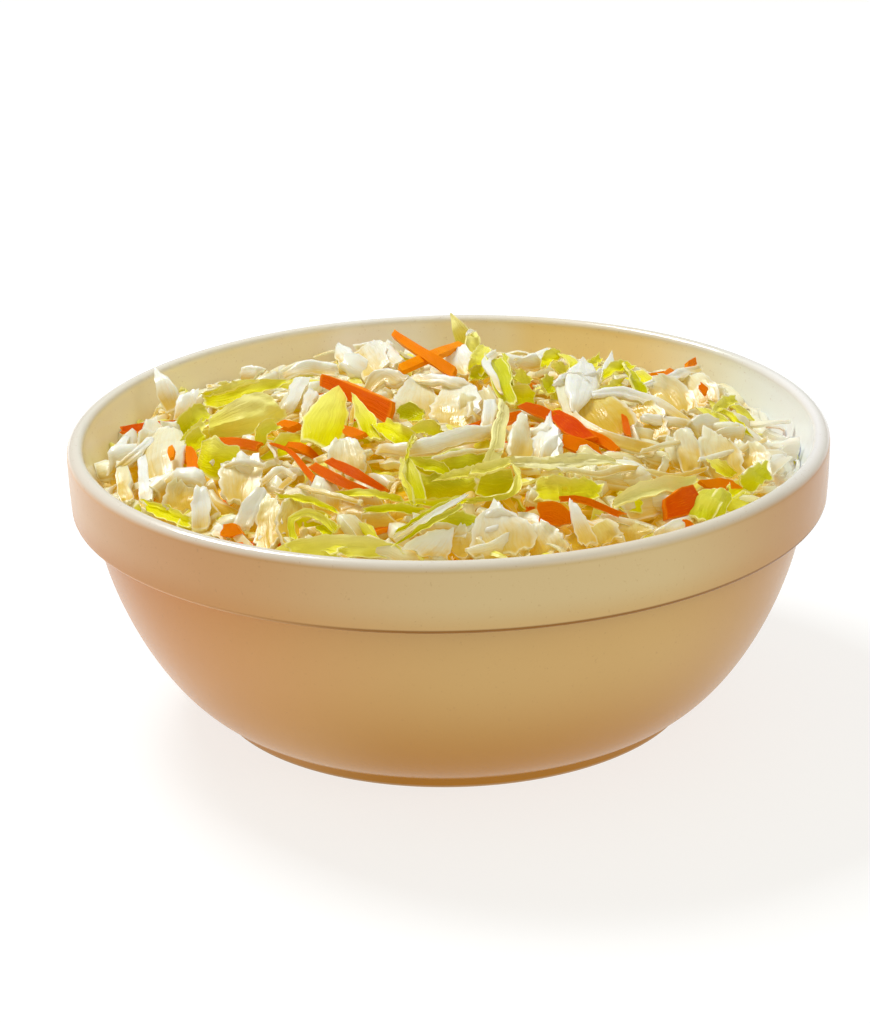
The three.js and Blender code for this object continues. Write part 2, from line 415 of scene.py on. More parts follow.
def turning_tree():
    """Turns the outline's points about Z, and closes the seam and the two poles."""
    tree, board, entry = new_tree(
        "turning",
        {
            "Segments": "NodeSocketInt",
            "Outline Points": "NodeSocketInt",
            "Material": "NodeSocketMaterial",
        },
    )
    segments, count = entry["Segments"], entry["Outline Points"]
    sheet = board.node(
        "GeometryNodeMeshGrid", None, {"Vertices X": segments + 1, "Vertices Y": count}
    )["Mesh"]
    index = board.node("GeometryNodeInputIndex")["Index"]
    around = index.maths("FLOOR", index / count)
    along = index - around * count
    outline = entry["Geometry"]
    place = board.node("GeometryNodeInputPosition")["Position"]
    sampled = board.node(
        "GeometryNodeSampleIndex",
        {"data_type": "FLOAT_VECTOR", "domain": "POINT"},
        {"Geometry": outline, "Value": place, "Index": along},
    )["Value"]
    inside = board.node("GeometryNodeInputNamedAttribute", {"data_type": "FLOAT"}, {"Name": "inside"})
    sampled_inside = board.node(
        "GeometryNodeSampleIndex",
        {"data_type": "FLOAT", "domain": "POINT"},
        {"Geometry": outline, "Value": inside["Attribute"], "Index": along},
    )["Value"]
    parts = board.node("ShaderNodeSeparateXYZ", None, {"Vector": sampled})
    angle = around * (2 * math.pi) / segments
    radius = parts["X"]
    turned = board.node(
        "ShaderNodeCombineXYZ",
        None,
        {
            "X": radius * angle.maths("COSINE", angle),
            "Y": radius * angle.maths("SINE", angle),
            "Z": parts["Z"],
        },
    )["Vector"]
    stored = board.node(
        "GeometryNodeStoreNamedAttribute",
        {"data_type": "FLOAT", "domain": "POINT"},
        {"Geometry": sheet, "Name": "inside", "Value": sampled_inside},
    )["Geometry"]
    placed = board.node(
        "GeometryNodeSetPosition", None, {"Geometry": stored, "Position": turned}
    )["Geometry"]
    merged = board.node(
        "GeometryNodeMergeByDistance", None, {"Geometry": placed, "Distance": WELD * METRES}
    )["Geometry"]
    real = board.node("GeometryNodeRealizeInstances", None, {"Geometry": merged})["Geometry"]
    smooth = board.node("GeometryNodeSetShadeSmooth", None, {0: real, "Shade Smooth": True})[0]
    dressed = board.node(
        "GeometryNodeSetMaterial", None, {"Geometry": smooth, "Material": entry["Material"]}
    )["Geometry"]
    board.node("NodeGroupOutput", None, {"Geometry": dressed})
    return tree


def measured(board, place, axis):
    """How far along X, Y or Z a place on the surface is, in millimetres."""
    axes = board.node("ShaderNodeSeparateXYZ", None, {"Vector": place})
    return axes[axis] / METRES


def glow(board, share, colour):
    """Light that comes back out of a surface: soaked through it, or thrown by what is near."""
    return board.mix(share, rgb(0, 0, 0), colour)


# The glaze outside. Each side is where along X a colour begins and where it is full.
TAN = rgb(211, 174, 110)
TAN_CLOUD = rgb(215, 178, 116)
BAND_TAN = rgb(220, 197, 146)
# Painted warm light: pinker towards the left
PAINTED_WARM_LIGHT_TAN = rgb(214, 149, 86)
WARM_LIGHT_SIDE = (8, -63)
# Painted light: the band paler and pinker towards the left
PAINTED_LIT_BAND = rgb(244, 214, 176)
LIT_BAND_SIDE = (-28, -68)
# Painted shade: browner towards the right
PAINTED_SHADE_TAN = rgb(193, 138, 76)
SHADED_RIGHT_SIDE = (32, 68)
# Painted shade: browner towards the foot, less so to the left
PAINTED_SHADE_AT_FOOT = rgb(184, 124, 15)
FOOT_SHADE_HEIGHTS = (32, 4)
FOOT_SHADE_WEAKER_SIDE = (-8, -34)
# Painted shade in the corner under the band, full right of the middle and fading out to the left
PAINTED_SHADE_UNDER_BAND = rgb(146, 96, 20)
SHADE_UNDER_BAND_REACH = (0.9, 0.55)  # above and below the corner
SHADE_UNDER_BAND_SIDE = (-52, -8)


def outside_glaze(board, cloud, band, across, height):
    """Tan, paler on the band, with light and shade painted in: painted warm light to the left, painted
    light on the band's left, and painted shade to the right, towards the foot and under the band.
    """
    tan = board.mix(cloud, TAN, TAN_CLOUD)
    tan = board.mix(band, tan, BAND_TAN)
    tan = board.mix(board.steps(across, *WARM_LIGHT_SIDE), tan, PAINTED_WARM_LIGHT_TAN)
    tan = board.mix(0.45 * band * board.steps(across, *LIT_BAND_SIDE), tan, PAINTED_LIT_BAND)
    tan = board.mix(board.steps(across, *SHADED_RIGHT_SIDE), tan, PAINTED_SHADE_TAN)
    foot = board.steps(height, *FOOT_SHADE_HEIGHTS)
    tan = board.mix(foot * (1 - 0.5 * board.steps(across, *FOOT_SHADE_WEAKER_SIDE)), tan, PAINTED_SHADE_AT_FOOT)
    corner = board.steps(abs(height - BAND_BOTTOM), *SHADE_UNDER_BAND_REACH)
    return board.mix(corner * board.steps(across, *SHADE_UNDER_BAND_SIDE), tan, PAINTED_SHADE_UNDER_BAND)


# The glaze inside
IVORY = rgb(248, 234, 202)
IVORY_CLOUD = rgb(251, 238, 208)
# Painted golden bounce light from the slaw, right of the middle
IVORY_IN_GOLDEN_BOUNCE = rgb(247, 221, 160)
GOLDEN_BOUNCE_SIDE = (11, 19)
# Painted light: near white by the right wall, where the lamp strikes it
IVORY_IN_PAINTED_LIGHT = rgb(240, 245, 236)
PAINTED_LIGHT_SIDE = (36, 62)
# Painted light: paler towards the left wall
IVORY_IN_PALER_LIGHT = rgb(250, 240, 212)
PALER_LIGHT_SIDE = (-30, -62)
# A painted reflection: a soft pale streak on the back wall, left of the middle
PAINTED_REFLECTION = rgb(255, 251, 246)
PAINTED_REFLECTION_MIDDLE = -13
PAINTED_REFLECTION_REACH = (14, 6)


def inside_glaze(board, cloud, across):
    """Ivory, with light painted in: golden bounce light right of the middle, white light by the right wall,
    paler light to the left, and a painted reflection behind.
    """
    ivory = board.mix(cloud, IVORY, IVORY_CLOUD)
    ivory = board.mix(board.steps(across, *GOLDEN_BOUNCE_SIDE), ivory, IVORY_IN_GOLDEN_BOUNCE)
    ivory = board.mix(board.steps(across, *PAINTED_LIGHT_SIDE), ivory, IVORY_IN_PAINTED_LIGHT)
    ivory = board.mix(board.steps(across, *PALER_LIGHT_SIDE), ivory, IVORY_IN_PALER_LIGHT)
    pale = board.steps(abs(across - PAINTED_REFLECTION_MIDDLE), *PAINTED_REFLECTION_REACH)
    return board.mix(0.85 * pale, ivory, PAINTED_REFLECTION)


LIP_GREY = rgb(231, 231, 230)
# Painted light by the right wall: the lip whiter there, and a painted cool glow on the inside
LIP_IN_PAINTED_LIGHT = rgb(250, 250, 244)
COOL_GLOW = rgb(60, 90, 255)
LIT_RIGHT_SIDE = (54, 67)
FRECKLE = rgb(176, 132, 84)
BARE_CLAY = rgb(196, 164, 128)


def glaze_finish():
    material, board, finish = new_material("stoneware_glaze")
    place = board.node("ShaderNodeTexCoord")["Object"]
    across = measured(board, place, "X")
    height = measured(board, place, "Z")
    inside = board.node("ShaderNodeAttribute", {"attribute_name": "inside"})["Fac"]
    cloud = board.grain(place, 45, detail=3)
    speck = board.grain(place, 1500, detail=2, roughness=0.7)
    band = board.steps(height, *BAND_HEIGHTS)
    lip = board.steps(height, *LIP_HEIGHTS)
    lit_right = board.steps(across, *LIT_RIGHT_SIDE)
    bare_foot = 1 - board.steps(height, *BARE_FOOT_HEIGHTS)

    outside = outside_glaze(board, cloud, band, across, height)
    glazed = board.mix(inside, outside, inside_glaze(board, cloud, across))
    glazed = board.mix(0.75 * lip, glazed, LIP_GREY)
    glazed = board.mix(0.8 * lip * lit_right, glazed, LIP_IN_PAINTED_LIGHT)
    freckled = board.mix(0.3 * board.steps(speck, 0.62, 0.78), glazed, FRECKLE)
    ripple = board.bump(board.grain(place, 70, detail=2), 0.0004, strength=0.25)
    finish(
        {
            "Base Color": board.mix(bare_foot, freckled, BARE_CLAY),
            "Roughness": 0.2 + 0.1 * cloud + 0.4 * bare_foot,
            "IOR": 1.38,
            "Coat Weight": 0.6 * lip + 0.1 * band,
            "Coat Roughness": 0.06,
            "Normal": board.bump(speck, 0.00003, strength=0.35, under=ripple),
            "Emission Color": glow(board, 0.1 * lit_right * inside, COOL_GLOW),
            "Emission Strength": 1.0,
        }
    )
    return material


outline = bowl_outline()
lip_top = int(np.argmax(outline[:, 1]))
is_inside = np.clip((np.arange(len(outline)) - lip_top + IVORY_START) / IVORY_BLEND, 0, 1)
bowl = new_piece("glazed_bowl", [(r, 0, z) for r, z in outline], [])
bowl.data.attributes.new("inside", "FLOAT", "POINT").data.foreach_set("value", is_inside)
apply_tree(
    bowl,
    turning_tree(),
    {"Segments": BOWL_SEGMENTS, "Outline Points": len(outline), "Material": glaze_finish()},
)
bowl.data.set_sharp_from_angle(angle=math.radians(BOWL_CRISP))
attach(bowl, "root")
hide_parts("bowl")


# ---- Slaw mass --------------------------------------------------------------------------
# What lies under the loose shreds: finely cut cabbage pressed together and soaked in a
# thin, creamy dressing. It fills the bowl to the wall and shows as a wet, bumpy bed in the
# gaps between the shreds. Its deep gold is partly the painted shade of those gaps, and by
# the right wall it is painted whiter, as painted light.
slaw_high = np.array(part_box("coleslaw")[1]) / METRES
WALL_GAP = 0.4
SLAW_EDGE = 44.6  # where the heap meets the wall
DOME_RISE = 8.8
DOME_POWER = 2.3
EDGE_WAVES = [(3, 0.7, 0.54), (7, 2.1, 0.36)]  # lobes, start and height of each
MASS_DEPTH = 1.7  # how far the mass lies under the heap's even dome, away from the wall
WALL_DEPTH = 0.6  # how far under it everywhere, and by the wall in all
MASS_RINGS = 96
MASS_SECTORS = 300
MASS_SIDE_RINGS = 14
MASS_SEED = 11
RIDGES = 900  # the finely cut cabbage that shows as relief
RIDGE_LENGTHS = (3, 9)
RIDGE_HALF_WIDTHS = (0.9, 1.9)
RIDGE_RISES = (0.3, 2.4)
RIDGE_TIP = 0.35  # a ridge's height at its low end, as a share
RELIEF_LEVEL = 0.3  # the height in the relief that counts as none
WALL_RELIEF = 0.35  # the relief left by the wall, as a share
EDGE_ZONE = 0.12  # the share of the radius over which the mass settles towards the wall
wall_points = inside_wall(200)


def wall_radius(height):
    """The glazed wall's radius at a height, and the lip's above it."""
    return np.interp(height, wall_points[:, 1], wall_points[:, 0])


def edge_height(angle):
    """The height at which the heap meets the wall, at an angle round the bowl."""
    return SLAW_EDGE + sum(rise * np.sin(lobes * angle + start) for lobes, start, rise in EDGE_WAVES)


def heap_height(x, y):
    """The height of the heap's even dome, without its shreds."""
    angle = np.arctan2(y, x)
    edge = edge_height(angle)
    share = np.clip(np.hypot(x, y) / (wall_radius(edge) - WALL_GAP), 0, 1)
    return SLAW_EDGE + (edge - SLAW_EDGE) * share + DOME_RISE * (1 - share**DOME_POWER)


def cut_relief(x, y, dice):
    """Small rounded ridges lying every way, the highest of which counts at each point."""
    reach = slaw_high[0]
    relief = np.zeros_like(x)
    for _ in range(RIDGES):
        radius = reach * math.sqrt(dice.random())
        around = dice.uniform(0, 2 * math.pi)
        heading = dice.uniform(0, math.pi)
        length = dice.uniform(*RIDGE_LENGTHS)
        width = dice.uniform(*RIDGE_HALF_WIDTHS)
        rise = dice.uniform(*RIDGE_RISES)
        dx = x - radius * math.cos(around)
        dy = y - radius * math.sin(around)
        near = np.hypot(dx, dy) < length / 2 + width
        along = dx[near] * math.cos(heading) + dy[near] * math.sin(heading)
        across = dy[near] * math.cos(heading) - dx[near] * math.sin(heading)
        beyond = np.maximum(np.abs(along) - length / 2, 0)
        away = np.clip(np.hypot(beyond, across) / width, 0, 1)
        tip = RIDGE_TIP + (1 - RIDGE_TIP) * np.clip(0.5 + along / length, 0, 1)
        relief[near] = np.maximum(relief[near], rise * tip * np.sqrt(1 - away**2))
    return relief


def dome_points(share, angle):
    """X, Y and Z on the heap's even dome, at shares of its radius and angles round it."""
    rim = wall_radius(edge_height(angle)) - WALL_GAP
    x, y = share * rim * np.cos(angle), share * rim * np.sin(angle)
    return x, y, heap_height(x, y)


def sheet_faces(rings, sectors):
    """The faces of a round sheet: a fan round the first point, then ring after ring."""
    pairs = [(j, (j + 1) % sectors) for j in range(sectors)]
    faces = [(0, 1 + j, 1 + k) for j, k in pairs]
    for ring in range(rings - 1):
        near = 1 + ring * sectors
        far = near + sectors
        faces += [(near + j, far + j, far + k, near + k) for j, k in pairs]
    return faces


def slaw_mass(material):
    """The mass as one closed skin: its bumpy top, down inside the wall, and its underside."""
    angle = np.arange(MASS_SECTORS) * 2 * math.pi / MASS_SECTORS
    share = np.linspace(0, 1, MASS_RINGS + 1)[1:, None]
    x, y, even = dome_points(share, angle)
    inward = np.clip(0.5 + (1 - share) / EDGE_ZONE, 0, 1)
    relief = cut_relief(x, y, np.random.default_rng(MASS_SEED))
    strength = WALL_RELIEF + (1 - WALL_RELIEF) * inward
    z = even - MASS_DEPTH * inward - WALL_DEPTH + (relief - RELIEF_LEVEL) * strength
    rings = [np.stack([x[i], y[i], z[i]], axis=1) for i in range(MASS_RINGS)]
    floor = FLOOR_EDGE[1] + WALL_GAP
    for drop in np.sin(np.linspace(0, math.pi / 2, MASS_SIDE_RINGS + 1))[1:]:
        height = rings[MASS_RINGS - 1][:, 2] * (1 - drop) + floor * drop
        radius = wall_radius(height) - WALL_GAP
        rings.append(np.stack([radius * np.cos(angle), radius * np.sin(angle), height], axis=1))
    top = (0, 0, z[0].mean())
    bottom = (0, 0, floor - FLOOR_DISH)
    points = np.vstack([[top], *rings, [bottom]])
    last = 1 + (len(rings) - 1) * MASS_SECTORS
    under = [(last + j, len(points) - 1, last + (j + 1) % MASS_SECTORS) for j in range(MASS_SECTORS)]
    piece = new_piece("slaw_mass", points, sheet_faces(len(rings), MASS_SECTORS) + under, material)
    piece.data.shade_smooth()
    return piece


# Painted light by the right wall: where along X it begins and where it is full
LIT_WALL_SIDE = (54, 64)
# Soaked cabbage, its deep gold partly the painted shade of the gaps between shreds
SOAKED_AND_SHADED_GOLD = rgb(200, 162, 1)
SOAKED_AND_SHADED_YELLOW = rgb(218, 186, 14)
SOAKED_FLECK = rgb(234, 206, 50)
WALL_CREAM = rgb(234, 212, 138)
WALL_CREAM_RADII = (50, 60)
PAINTED_LIGHT_WHITE = rgb(244, 240, 226)


def light_by_right_wall(board, across):
    """1 by the wall towards +X, where painted light whitens the slaw."""
    return board.steps(across, *LIT_WALL_SIDE)


def mass_finish():
    material, board, finish = new_material("soaked_cabbage")
    place = board.node("ShaderNodeTexCoord")["Object"]
    across = measured(board, place, "X")
    deep = measured(board, place, "Y")
    radius = (across * across + deep * deep) ** 0.5
    blotch = board.grain(place, 160, detail=3)
    fine = board.grain(place, 900, detail=2)
    colour = board.mix(board.steps(blotch, 0.35, 0.65), SOAKED_AND_SHADED_GOLD, SOAKED_AND_SHADED_YELLOW)
    colour = board.mix(0.4 * board.steps(fine, 0.5, 0.75), colour, SOAKED_FLECK)
    colour = board.mix(0.8 * board.steps(radius, *WALL_CREAM_RADII), colour, WALL_CREAM)
    colour = board.mix(0.8 * light_by_right_wall(board, across), colour, PAINTED_LIGHT_WHITE)
    finish(
        {
            "Base Color": colour,
            "Roughness": 0.18,
            "Specular IOR Level": 0.15,
            "Normal": board.bump(fine, 0.00035, strength=0.5),
            "Emission Color": glow(board, 0.16, colour),
            "Emission Strength": 1.0,
        }
    )
    return material


mass = slaw_mass(mass_finish())
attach(mass, "root")
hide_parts("coleslaw")


# ---- White cabbage ----------------------------------------------------------------------
# The thick ribs and heart of a white cabbage, cut across into stubs, wedges, slabs and
# stout sticks 5 to 20 mm long. They are crisp and half see-through: near white where the
# light strikes them, golden in their own shade. They lie in the dressing at every angle.
HIGHEST_SPOT = slaw_high[2] + 0.8  # where the middle of a listed shred may lie
HIGHEST_POINT = HIGHEST_SPOT + 0.7  # and where its surface may
SPOT_TO_WALL = 1.0
POINT_TO_WALL = 0.25
RAY_START = 380  # how far from the camera the heap is looked for
RAY_END = 680
RAY_STEPS = 1200
BROAD_BENDS = (0.4, 0.6, 0.9, 1.2)  # radians to the millimetre, of each wave in a shred
FINE_BENDS = (1.2, 1.7, 2.3)


class Cuttings:
    """The shreds of one kind as they are cut, gathered into one mesh."""

    def __init__(self, seed):
        self.dice = np.random.default_rng(seed)
        self.points = []
        self.faces = []
        self.weave = []
        self.tints = []
        self.rises = []
        self.count = 0

    def add(
        self,
        path,
        widths,
        thick,
        faces_to=(0, 0, 1),
        tint=0.5,
        cup=0.0,
        twist=(0, 0),
        wave=0.0,
        ragged=0.6,
        jagged=0.2,
        ridges=0.0,
        edge=0.6,
        blunt=0.0,
        uneven=0.2,
        crumple=0.0,
        steps=10,
        lanes=6,
    ):
        """A strip along a path, with its widths at even steps and its thickness in the middle.

        faces_to is the way its broad side looks, cup lifts its edges, twist turns it from
        one end to the other and wave ripples its edges. ragged is how unevenly its ends are
        cut and jagged its edges. ridges is the height of the veins that run along it, edge
        the thickness left at its edges as a share, and blunt rounds off its ends. uneven is
        the height of the broad bends in all of it, and crumple of the small ones.
        """
        dice = self.dice
        line = smooth_line(path, steps)
        ahead = np.gradient(line, axis=0)
        ahead /= np.linalg.norm(ahead, axis=1)[:, None]
        side = np.cross(ahead, np.asarray(faces_to, dtype=float))
        side /= np.linalg.norm(side, axis=1)[:, None]
        out = np.cross(side, ahead)
        turn = np.radians(np.linspace(twist[0], twist[1], steps))[:, None]
        side, out = side * np.cos(turn) + out * np.sin(turn), out * np.cos(turn) - side * np.sin(turn)

        t = np.linspace(0, 1, steps)
        v = np.linspace(-1, 1, lanes)
        ending = np.abs(2 * t - 1) ** 6
        width = np.interp(t, np.linspace(0, 1, len(widths)), widths) * (1 - 0.35 * blunt * ending)
        share = width / max(width)
        fringe = dice.uniform(-1, 1, (2, steps, 1)) * jagged * share[:, None]
        sideways = v * width[:, None] / 2 + np.where(v > 0, fringe[0], fringe[1]) * v**2
        ripple = np.sin(t[:, None] * dice.uniform(6, 13) + 1.3 * np.sign(v) + dice.uniform(0, 6))
        lift = cup * (v**2 - 0.4) * share[:, None] + wave * v**2 * ripple
        veins = dice.uniform(-1, 1, lanes) + 0.4 * dice.uniform(-1, 1, (steps, lanes))
        lift = lift + ridges * veins * share[:, None]
        ends = self.cut_ends(line, lanes, ragged)
        middle = (
            line[:, None, :]
            + side[:, None, :] * sideways[:, :, None]
            + out[:, None, :] * lift[:, :, None]
            + ahead[:, None, :] * ends[:, :, None]
        )
        depth = edge + (1 - edge) * np.sqrt(1 - v**2)
        slim = (np.clip(share * 1.8, 0.3, 1) * (1 - 0.6 * blunt * ending))[:, None]
        half = out[:, None, :] * (thick / 2 * depth * slim)[:, :, None]
        shell = np.concatenate([middle + half, (middle - half)[:, ::-1]], axis=1)
        shell = shell + uneven * lumps(shell, dice)
        if crumple:
            shell = shell + crumple * lumps(shell, dice, FINE_BENDS)
        self.gather(shell, t, np.concatenate([v, v[::-1]]), tint)

    def lay_by_hand(self, spots, widths, tilt, turn=0, **cut):
        """A strip laid through spots, each (across, down, lift), with its widths at even steps.

        across and down are pixels in the camera's frame, and lift is the height above the
        heap's dome. tilt and turn, in degrees, say which way the broad side looks.
        """
        path = [on_heap(*spot) for spot in spots]
        self.add(path, widths, faces_to=looking(tilt, turn), **cut)

    def cut_ends(self, line, lanes, ragged):
        """How far each lane's end points are moved along, so that no end is cut square."""
        ends = np.zeros((len(line), lanes))
        length = np.linalg.norm(line[-1] - line[0])
        for index, inner in ((0, 1), (-1, -2)):
            slant = self.dice.uniform(-1, 1) * ragged * 1.5
            teeth = self.dice.uniform(-0.5, 0.5, lanes) * ragged
            offset = np.clip(slant * np.linspace(-1, 1, lanes) + teeth, -length / 4, length / 4)
            ends[index] = offset
            ends[inner] = offset * 0.6
        return ends

    def gather(self, shell, t, v, tint):
        """Joins the rings of points into a closed skin."""
        steps, ring = shell.shape[:2]
        first = self.count
        for i in range(steps - 1):
            for j in range(ring):
                k = (j + 1) % ring
                near = first + i * ring
                far = near + ring
                self.faces.append((near + j, near + k, far + k, far + j))
        for j in range(ring // 2 - 1):
            near, far = first, first + (steps - 1) * ring
            top, under = j, ring - 1 - j
            self.faces.append((near + top, near + under, near + under - 1, near + top + 1))
            self.faces.append((far + top, far + top + 1, far + under - 1, far + under))
        self.points.append(shell.reshape(-1, 3))
        self.weave.append(np.stack(np.broadcast_arrays(t[:, None], v[None, :]), axis=2).reshape(-1, 2))
        self.tints.append(np.full(steps * ring, tint))
        height = shell[:, :, 2]
        self.rises.append(((height - height.min()) / np.ptp(height)).ravel())
        self.count += steps * ring

    def make(self, name):
        """The mesh object of all that was added, with its attributes."""
        piece = new_piece(name, np.vstack(self.points), self.faces)
        weave = np.vstack(self.weave)
        values = {
            "along": weave[:, 0],
            "across": weave[:, 1],
            "tint": np.concatenate(self.tints),
            "rise": np.concatenate(self.rises),
        }
        for label, numbers in values.items():
            piece.data.attributes.new(label, "FLOAT", "POINT").data.foreach_set("value", numbers)
        return piece


def smooth_line(path, steps):
    """Evenly spread points on a smooth line through the path's points."""
    path = np.asarray(path, dtype=float)
    ends = np.vstack([2 * path[0] - path[1], path, 2 * path[-1] - path[-2]])
    fine = []
    for a, b, c, d in zip(ends, ends[1:], ends[2:], ends[3:]):
        for t in np.linspace(0, 1, 12, endpoint=False):
            bend = 2 * a - 5 * b + 4 * c - d
            fine.append(b + (c - a) * t / 2 + bend * t**2 / 2 + (3 * b - a - 3 * c + d) * t**3 / 2)
    fine = np.array([*fine, path[-1]])
    run = np.concatenate([[0], np.cumsum(np.linalg.norm(np.diff(fine, axis=0), axis=1))])
    even = np.linspace(0, run[-1], steps)
    return np.column_stack([np.interp(even, run, fine[:, axis]) for axis in range(3)])


def lumps(shell, dice, spreads=BROAD_BENDS):
    """Smooth uneven offsets, from waves that cross at random."""
    offset = np.zeros_like(shell)
    for spread in spreads:
        wave = dice.normal(0, spread, 3)
        way = dice.normal(0, 0.5, 3)
        offset += np.sin(shell @ wave + dice.uniform(0, 6))[..., None] * way
    return offset


def looking(tilt, turn=0):
    """The way a broad side looks: tilt 0 is up, 90 is level towards the camera's side."""
    tilt, turn = math.radians(tilt), math.radians(turn)
    return (math.sin(turn) * math.sin(tilt), -math.cos(turn) * math.sin(tilt), math.cos(tilt))


def on_heap(across, down, lift):
    """The point that the camera sees at this place in its frame, lift above the heap's dome."""
    ray = camera_forward + (
        camera_right * (across - FRAME_WIDTH / 2) - camera_up * (down - FRAME_HEIGHT / 2)
    ) / FOCAL_LENGTH
    reach = np.linspace(RAY_START, RAY_END, RAY_STEPS + 1)[:, None]
    points = camera_place + ray * reach
    above = points[:, 2] - heap_height(points[:, 0], points[:, 1]) - lift
    first = int(np.argmax(above < 0))
    share = above[first - 1] / (above[first - 1] - above[first])
    place = points[first - 1] + (points[first] - points[first - 1]) * share
    place = place - ray * min((place[2] - HIGHEST_SPOT) / ray[2], 0)
    room = wall_radius(place[2]) - SPOT_TO_WALL
    radius = math.hypot(place[0], place[1])
    if radius > room:
        place[:2] *= room / radius
    return place


def arch(length, rise, bend=0.0):
    """A path for a loose shred: along X, humped by rise and bent sideways."""
    t = np.linspace(-1, 1, 5)
    return np.column_stack([t * length / 2, bend * (1 - t**2), rise * (0.5 - t**2)])


def scatter_tree():
    """Lays picked shreds over the bed at random and adds them to the listed ones."""
    tree, board, entry = new_tree(
        "scattering",
        {
            "Bed": "NodeSocketObject",
            "Shreds": "NodeSocketCollection",
            "Spacing": "NodeSocketFloat",
            "Density": "NodeSocketFloat",
            "Lean": "NodeSocketFloat",
            "Lift Low": "NodeSocketFloat",
            "Lift High": "NodeSocketFloat",
            "Seed": "NodeSocketInt",
            "Material": "NodeSocketMaterial",
        },
    )
    seed = entry["Seed"]

    def chance(low, high, step):
        sockets = {"Min": low, "Max": high, "Seed": seed + step}
        return board.node("FunctionNodeRandomValue", {"data_type": "FLOAT"}, sockets)["Value"]

    bed = board.node("GeometryNodeObjectInfo", None, {"Object": entry["Bed"]})["Geometry"]
    spread = board.node(
        "GeometryNodeDistributePointsOnFaces",
        {"distribute_method": "POISSON"},
        {"Mesh": bed, "Distance Min": entry["Spacing"], "Density Max": entry["Density"], "Seed": seed},
    )
    lift = chance(entry["Lift Low"], entry["Lift High"], 1)
    lifting = board.node("ShaderNodeCombineXYZ", None, {"Z": lift})["Vector"]
    lifted = board.node("GeometryNodeSetPosition", None, {"Geometry": spread["Points"], "Offset": lifting})
    spin = board.node("ShaderNodeCombineXYZ", None, {"Z": chance(0.0, 2 * math.pi, 2)})["Vector"]
    lean = board.node(
        "ShaderNodeCombineXYZ",
        None,
        {
            "X": chance(-1 * entry["Lean"], entry["Lean"], 3),
            "Y": chance(-0.6 * entry["Lean"], 0.6 * entry["Lean"], 4),
        },
    )["Vector"]
    turned = spread["Rotation"]
    for angles in (spin, lean):
        by = board.node("FunctionNodeEulerToRotation", None, {"Euler": angles})["Rotation"]
        turned = board.node(
            "FunctionNodeRotateRotation",
            {"rotation_space": "LOCAL"},
            {"Rotation": turned, "Rotate By": by},
        )["Rotation"]
    picks = board.node(
        "GeometryNodeCollectionInfo",
        None,
        {"Collection": entry["Shreds"], "Separate Children": True, "Reset Children": True},
    )[0]
    laid = board.node(
        "GeometryNodeInstanceOnPoints",
        None,
        {
            "Points": lifted["Geometry"],
            "Instance": picks,
            "Pick Instance": True,
            "Rotation": turned,
            "Scale": chance(0.8, 1.2, 5),
        },
    )["Instances"]
    tinted = board.node(
        "GeometryNodeStoreNamedAttribute",
        {"data_type": "FLOAT", "domain": "INSTANCE"},
        {"Geometry": laid, "Name": "tint", "Value": chance(0.0, 1.0, 6)},
    )["Geometry"]
    real = board.node("GeometryNodeRealizeInstances", None, {"Geometry": tinted})["Geometry"]
    joined = board.node("GeometryNodeJoinGeometry")
    board.tree.links.new(real.socket, joined.node.inputs[0])
    board.tree.links.new(entry["Geometry"].socket, joined.node.inputs[0])
    smooth = board.node(
        "GeometryNodeSetShadeSmooth", None, {0: joined["Geometry"], "Shade Smooth": True}
    )[0]
    dressed = board.node(
        "GeometryNodeSetMaterial", None, {"Geometry": smooth, "Material": entry["Material"]}
    )["Geometry"]
    board.node("NodeGroupOutput", None, {"Geometry": dressed})
    return tree


BED_RINGS = 23
BED_SECTORS = 96
BED_SHARE = 0.995  # of the heap's radius
DENSEST = 400000.0  # points to the square metre, more than any spacing leaves


def make_bed():
    """The heap's even dome as a plain sheet, for shreds to be laid on; it is taken away later."""
    angle = np.arange(BED_SECTORS) * 2 * math.pi / BED_SECTORS
    share = np.linspace(0, BED_SHARE, BED_RINGS + 1)[1:, None]
    rings = np.stack(dome_points(share, angle), axis=2).reshape(-1, 3)
    top = (0, 0, SLAW_EDGE + DOME_RISE)
    return new_piece("bed", np.vstack([[top], rings]), sheet_faces(BED_RINGS, BED_SECTORS))


scattering = scatter_tree()
bed = make_bed()


def loose_shreds(kind, seed, cuts):
    """Single shreds to be scattered, one for each cut, which gives its measures from dice."""
    made = []
    for number, cut in enumerate(cuts):
        shred = Cuttings(seed + number)
        shred.add(**cut(shred.dice))
        made.append(shred.make(f"{kind}_{number:02d}"))
    return made


def scatter(piece, loose, spacing, lean, lift, seed, material, crisp=38):
    """Scatters loose shreds over the bed, adds them to the piece and finishes it.

    lean is how far they tip over, and crisp the bend past which an edge stays sharp, both
    in degrees.
    """
    drawer = bpy.data.collections.new(piece.name + "_templates")
    bpy.context.scene.collection.children.link(drawer)
    for shred in loose:
        bpy.context.scene.collection.objects.unlink(shred)
        drawer.objects.link(shred)
    apply_tree(
        piece,
        scattering,
        {
            "Bed": bed,
            "Shreds": drawer,
            "Spacing": spacing * METRES,
            "Density": DENSEST,
            "Lean": math.radians(lean),
            "Lift Low": lift[0] * METRES,
            "Lift High": lift[1] * METRES,
            "Seed": seed,
            "Material": material,
        },
    )
    for shred in loose:
        bpy.data.objects.remove(shred)
    bpy.data.collections.remove(drawer)
    keep_in_bowl(piece)
    piece.data.set_sharp_from_angle(angle=math.radians(crisp))
    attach(piece, "root")


def places(piece):
    """The points of a piece's mesh in millimetres."""
    place = np.empty(len(piece.data.vertices) * 3)
    piece.data.vertices.foreach_get("co", place)
    return place.reshape(-1, 3) / METRES


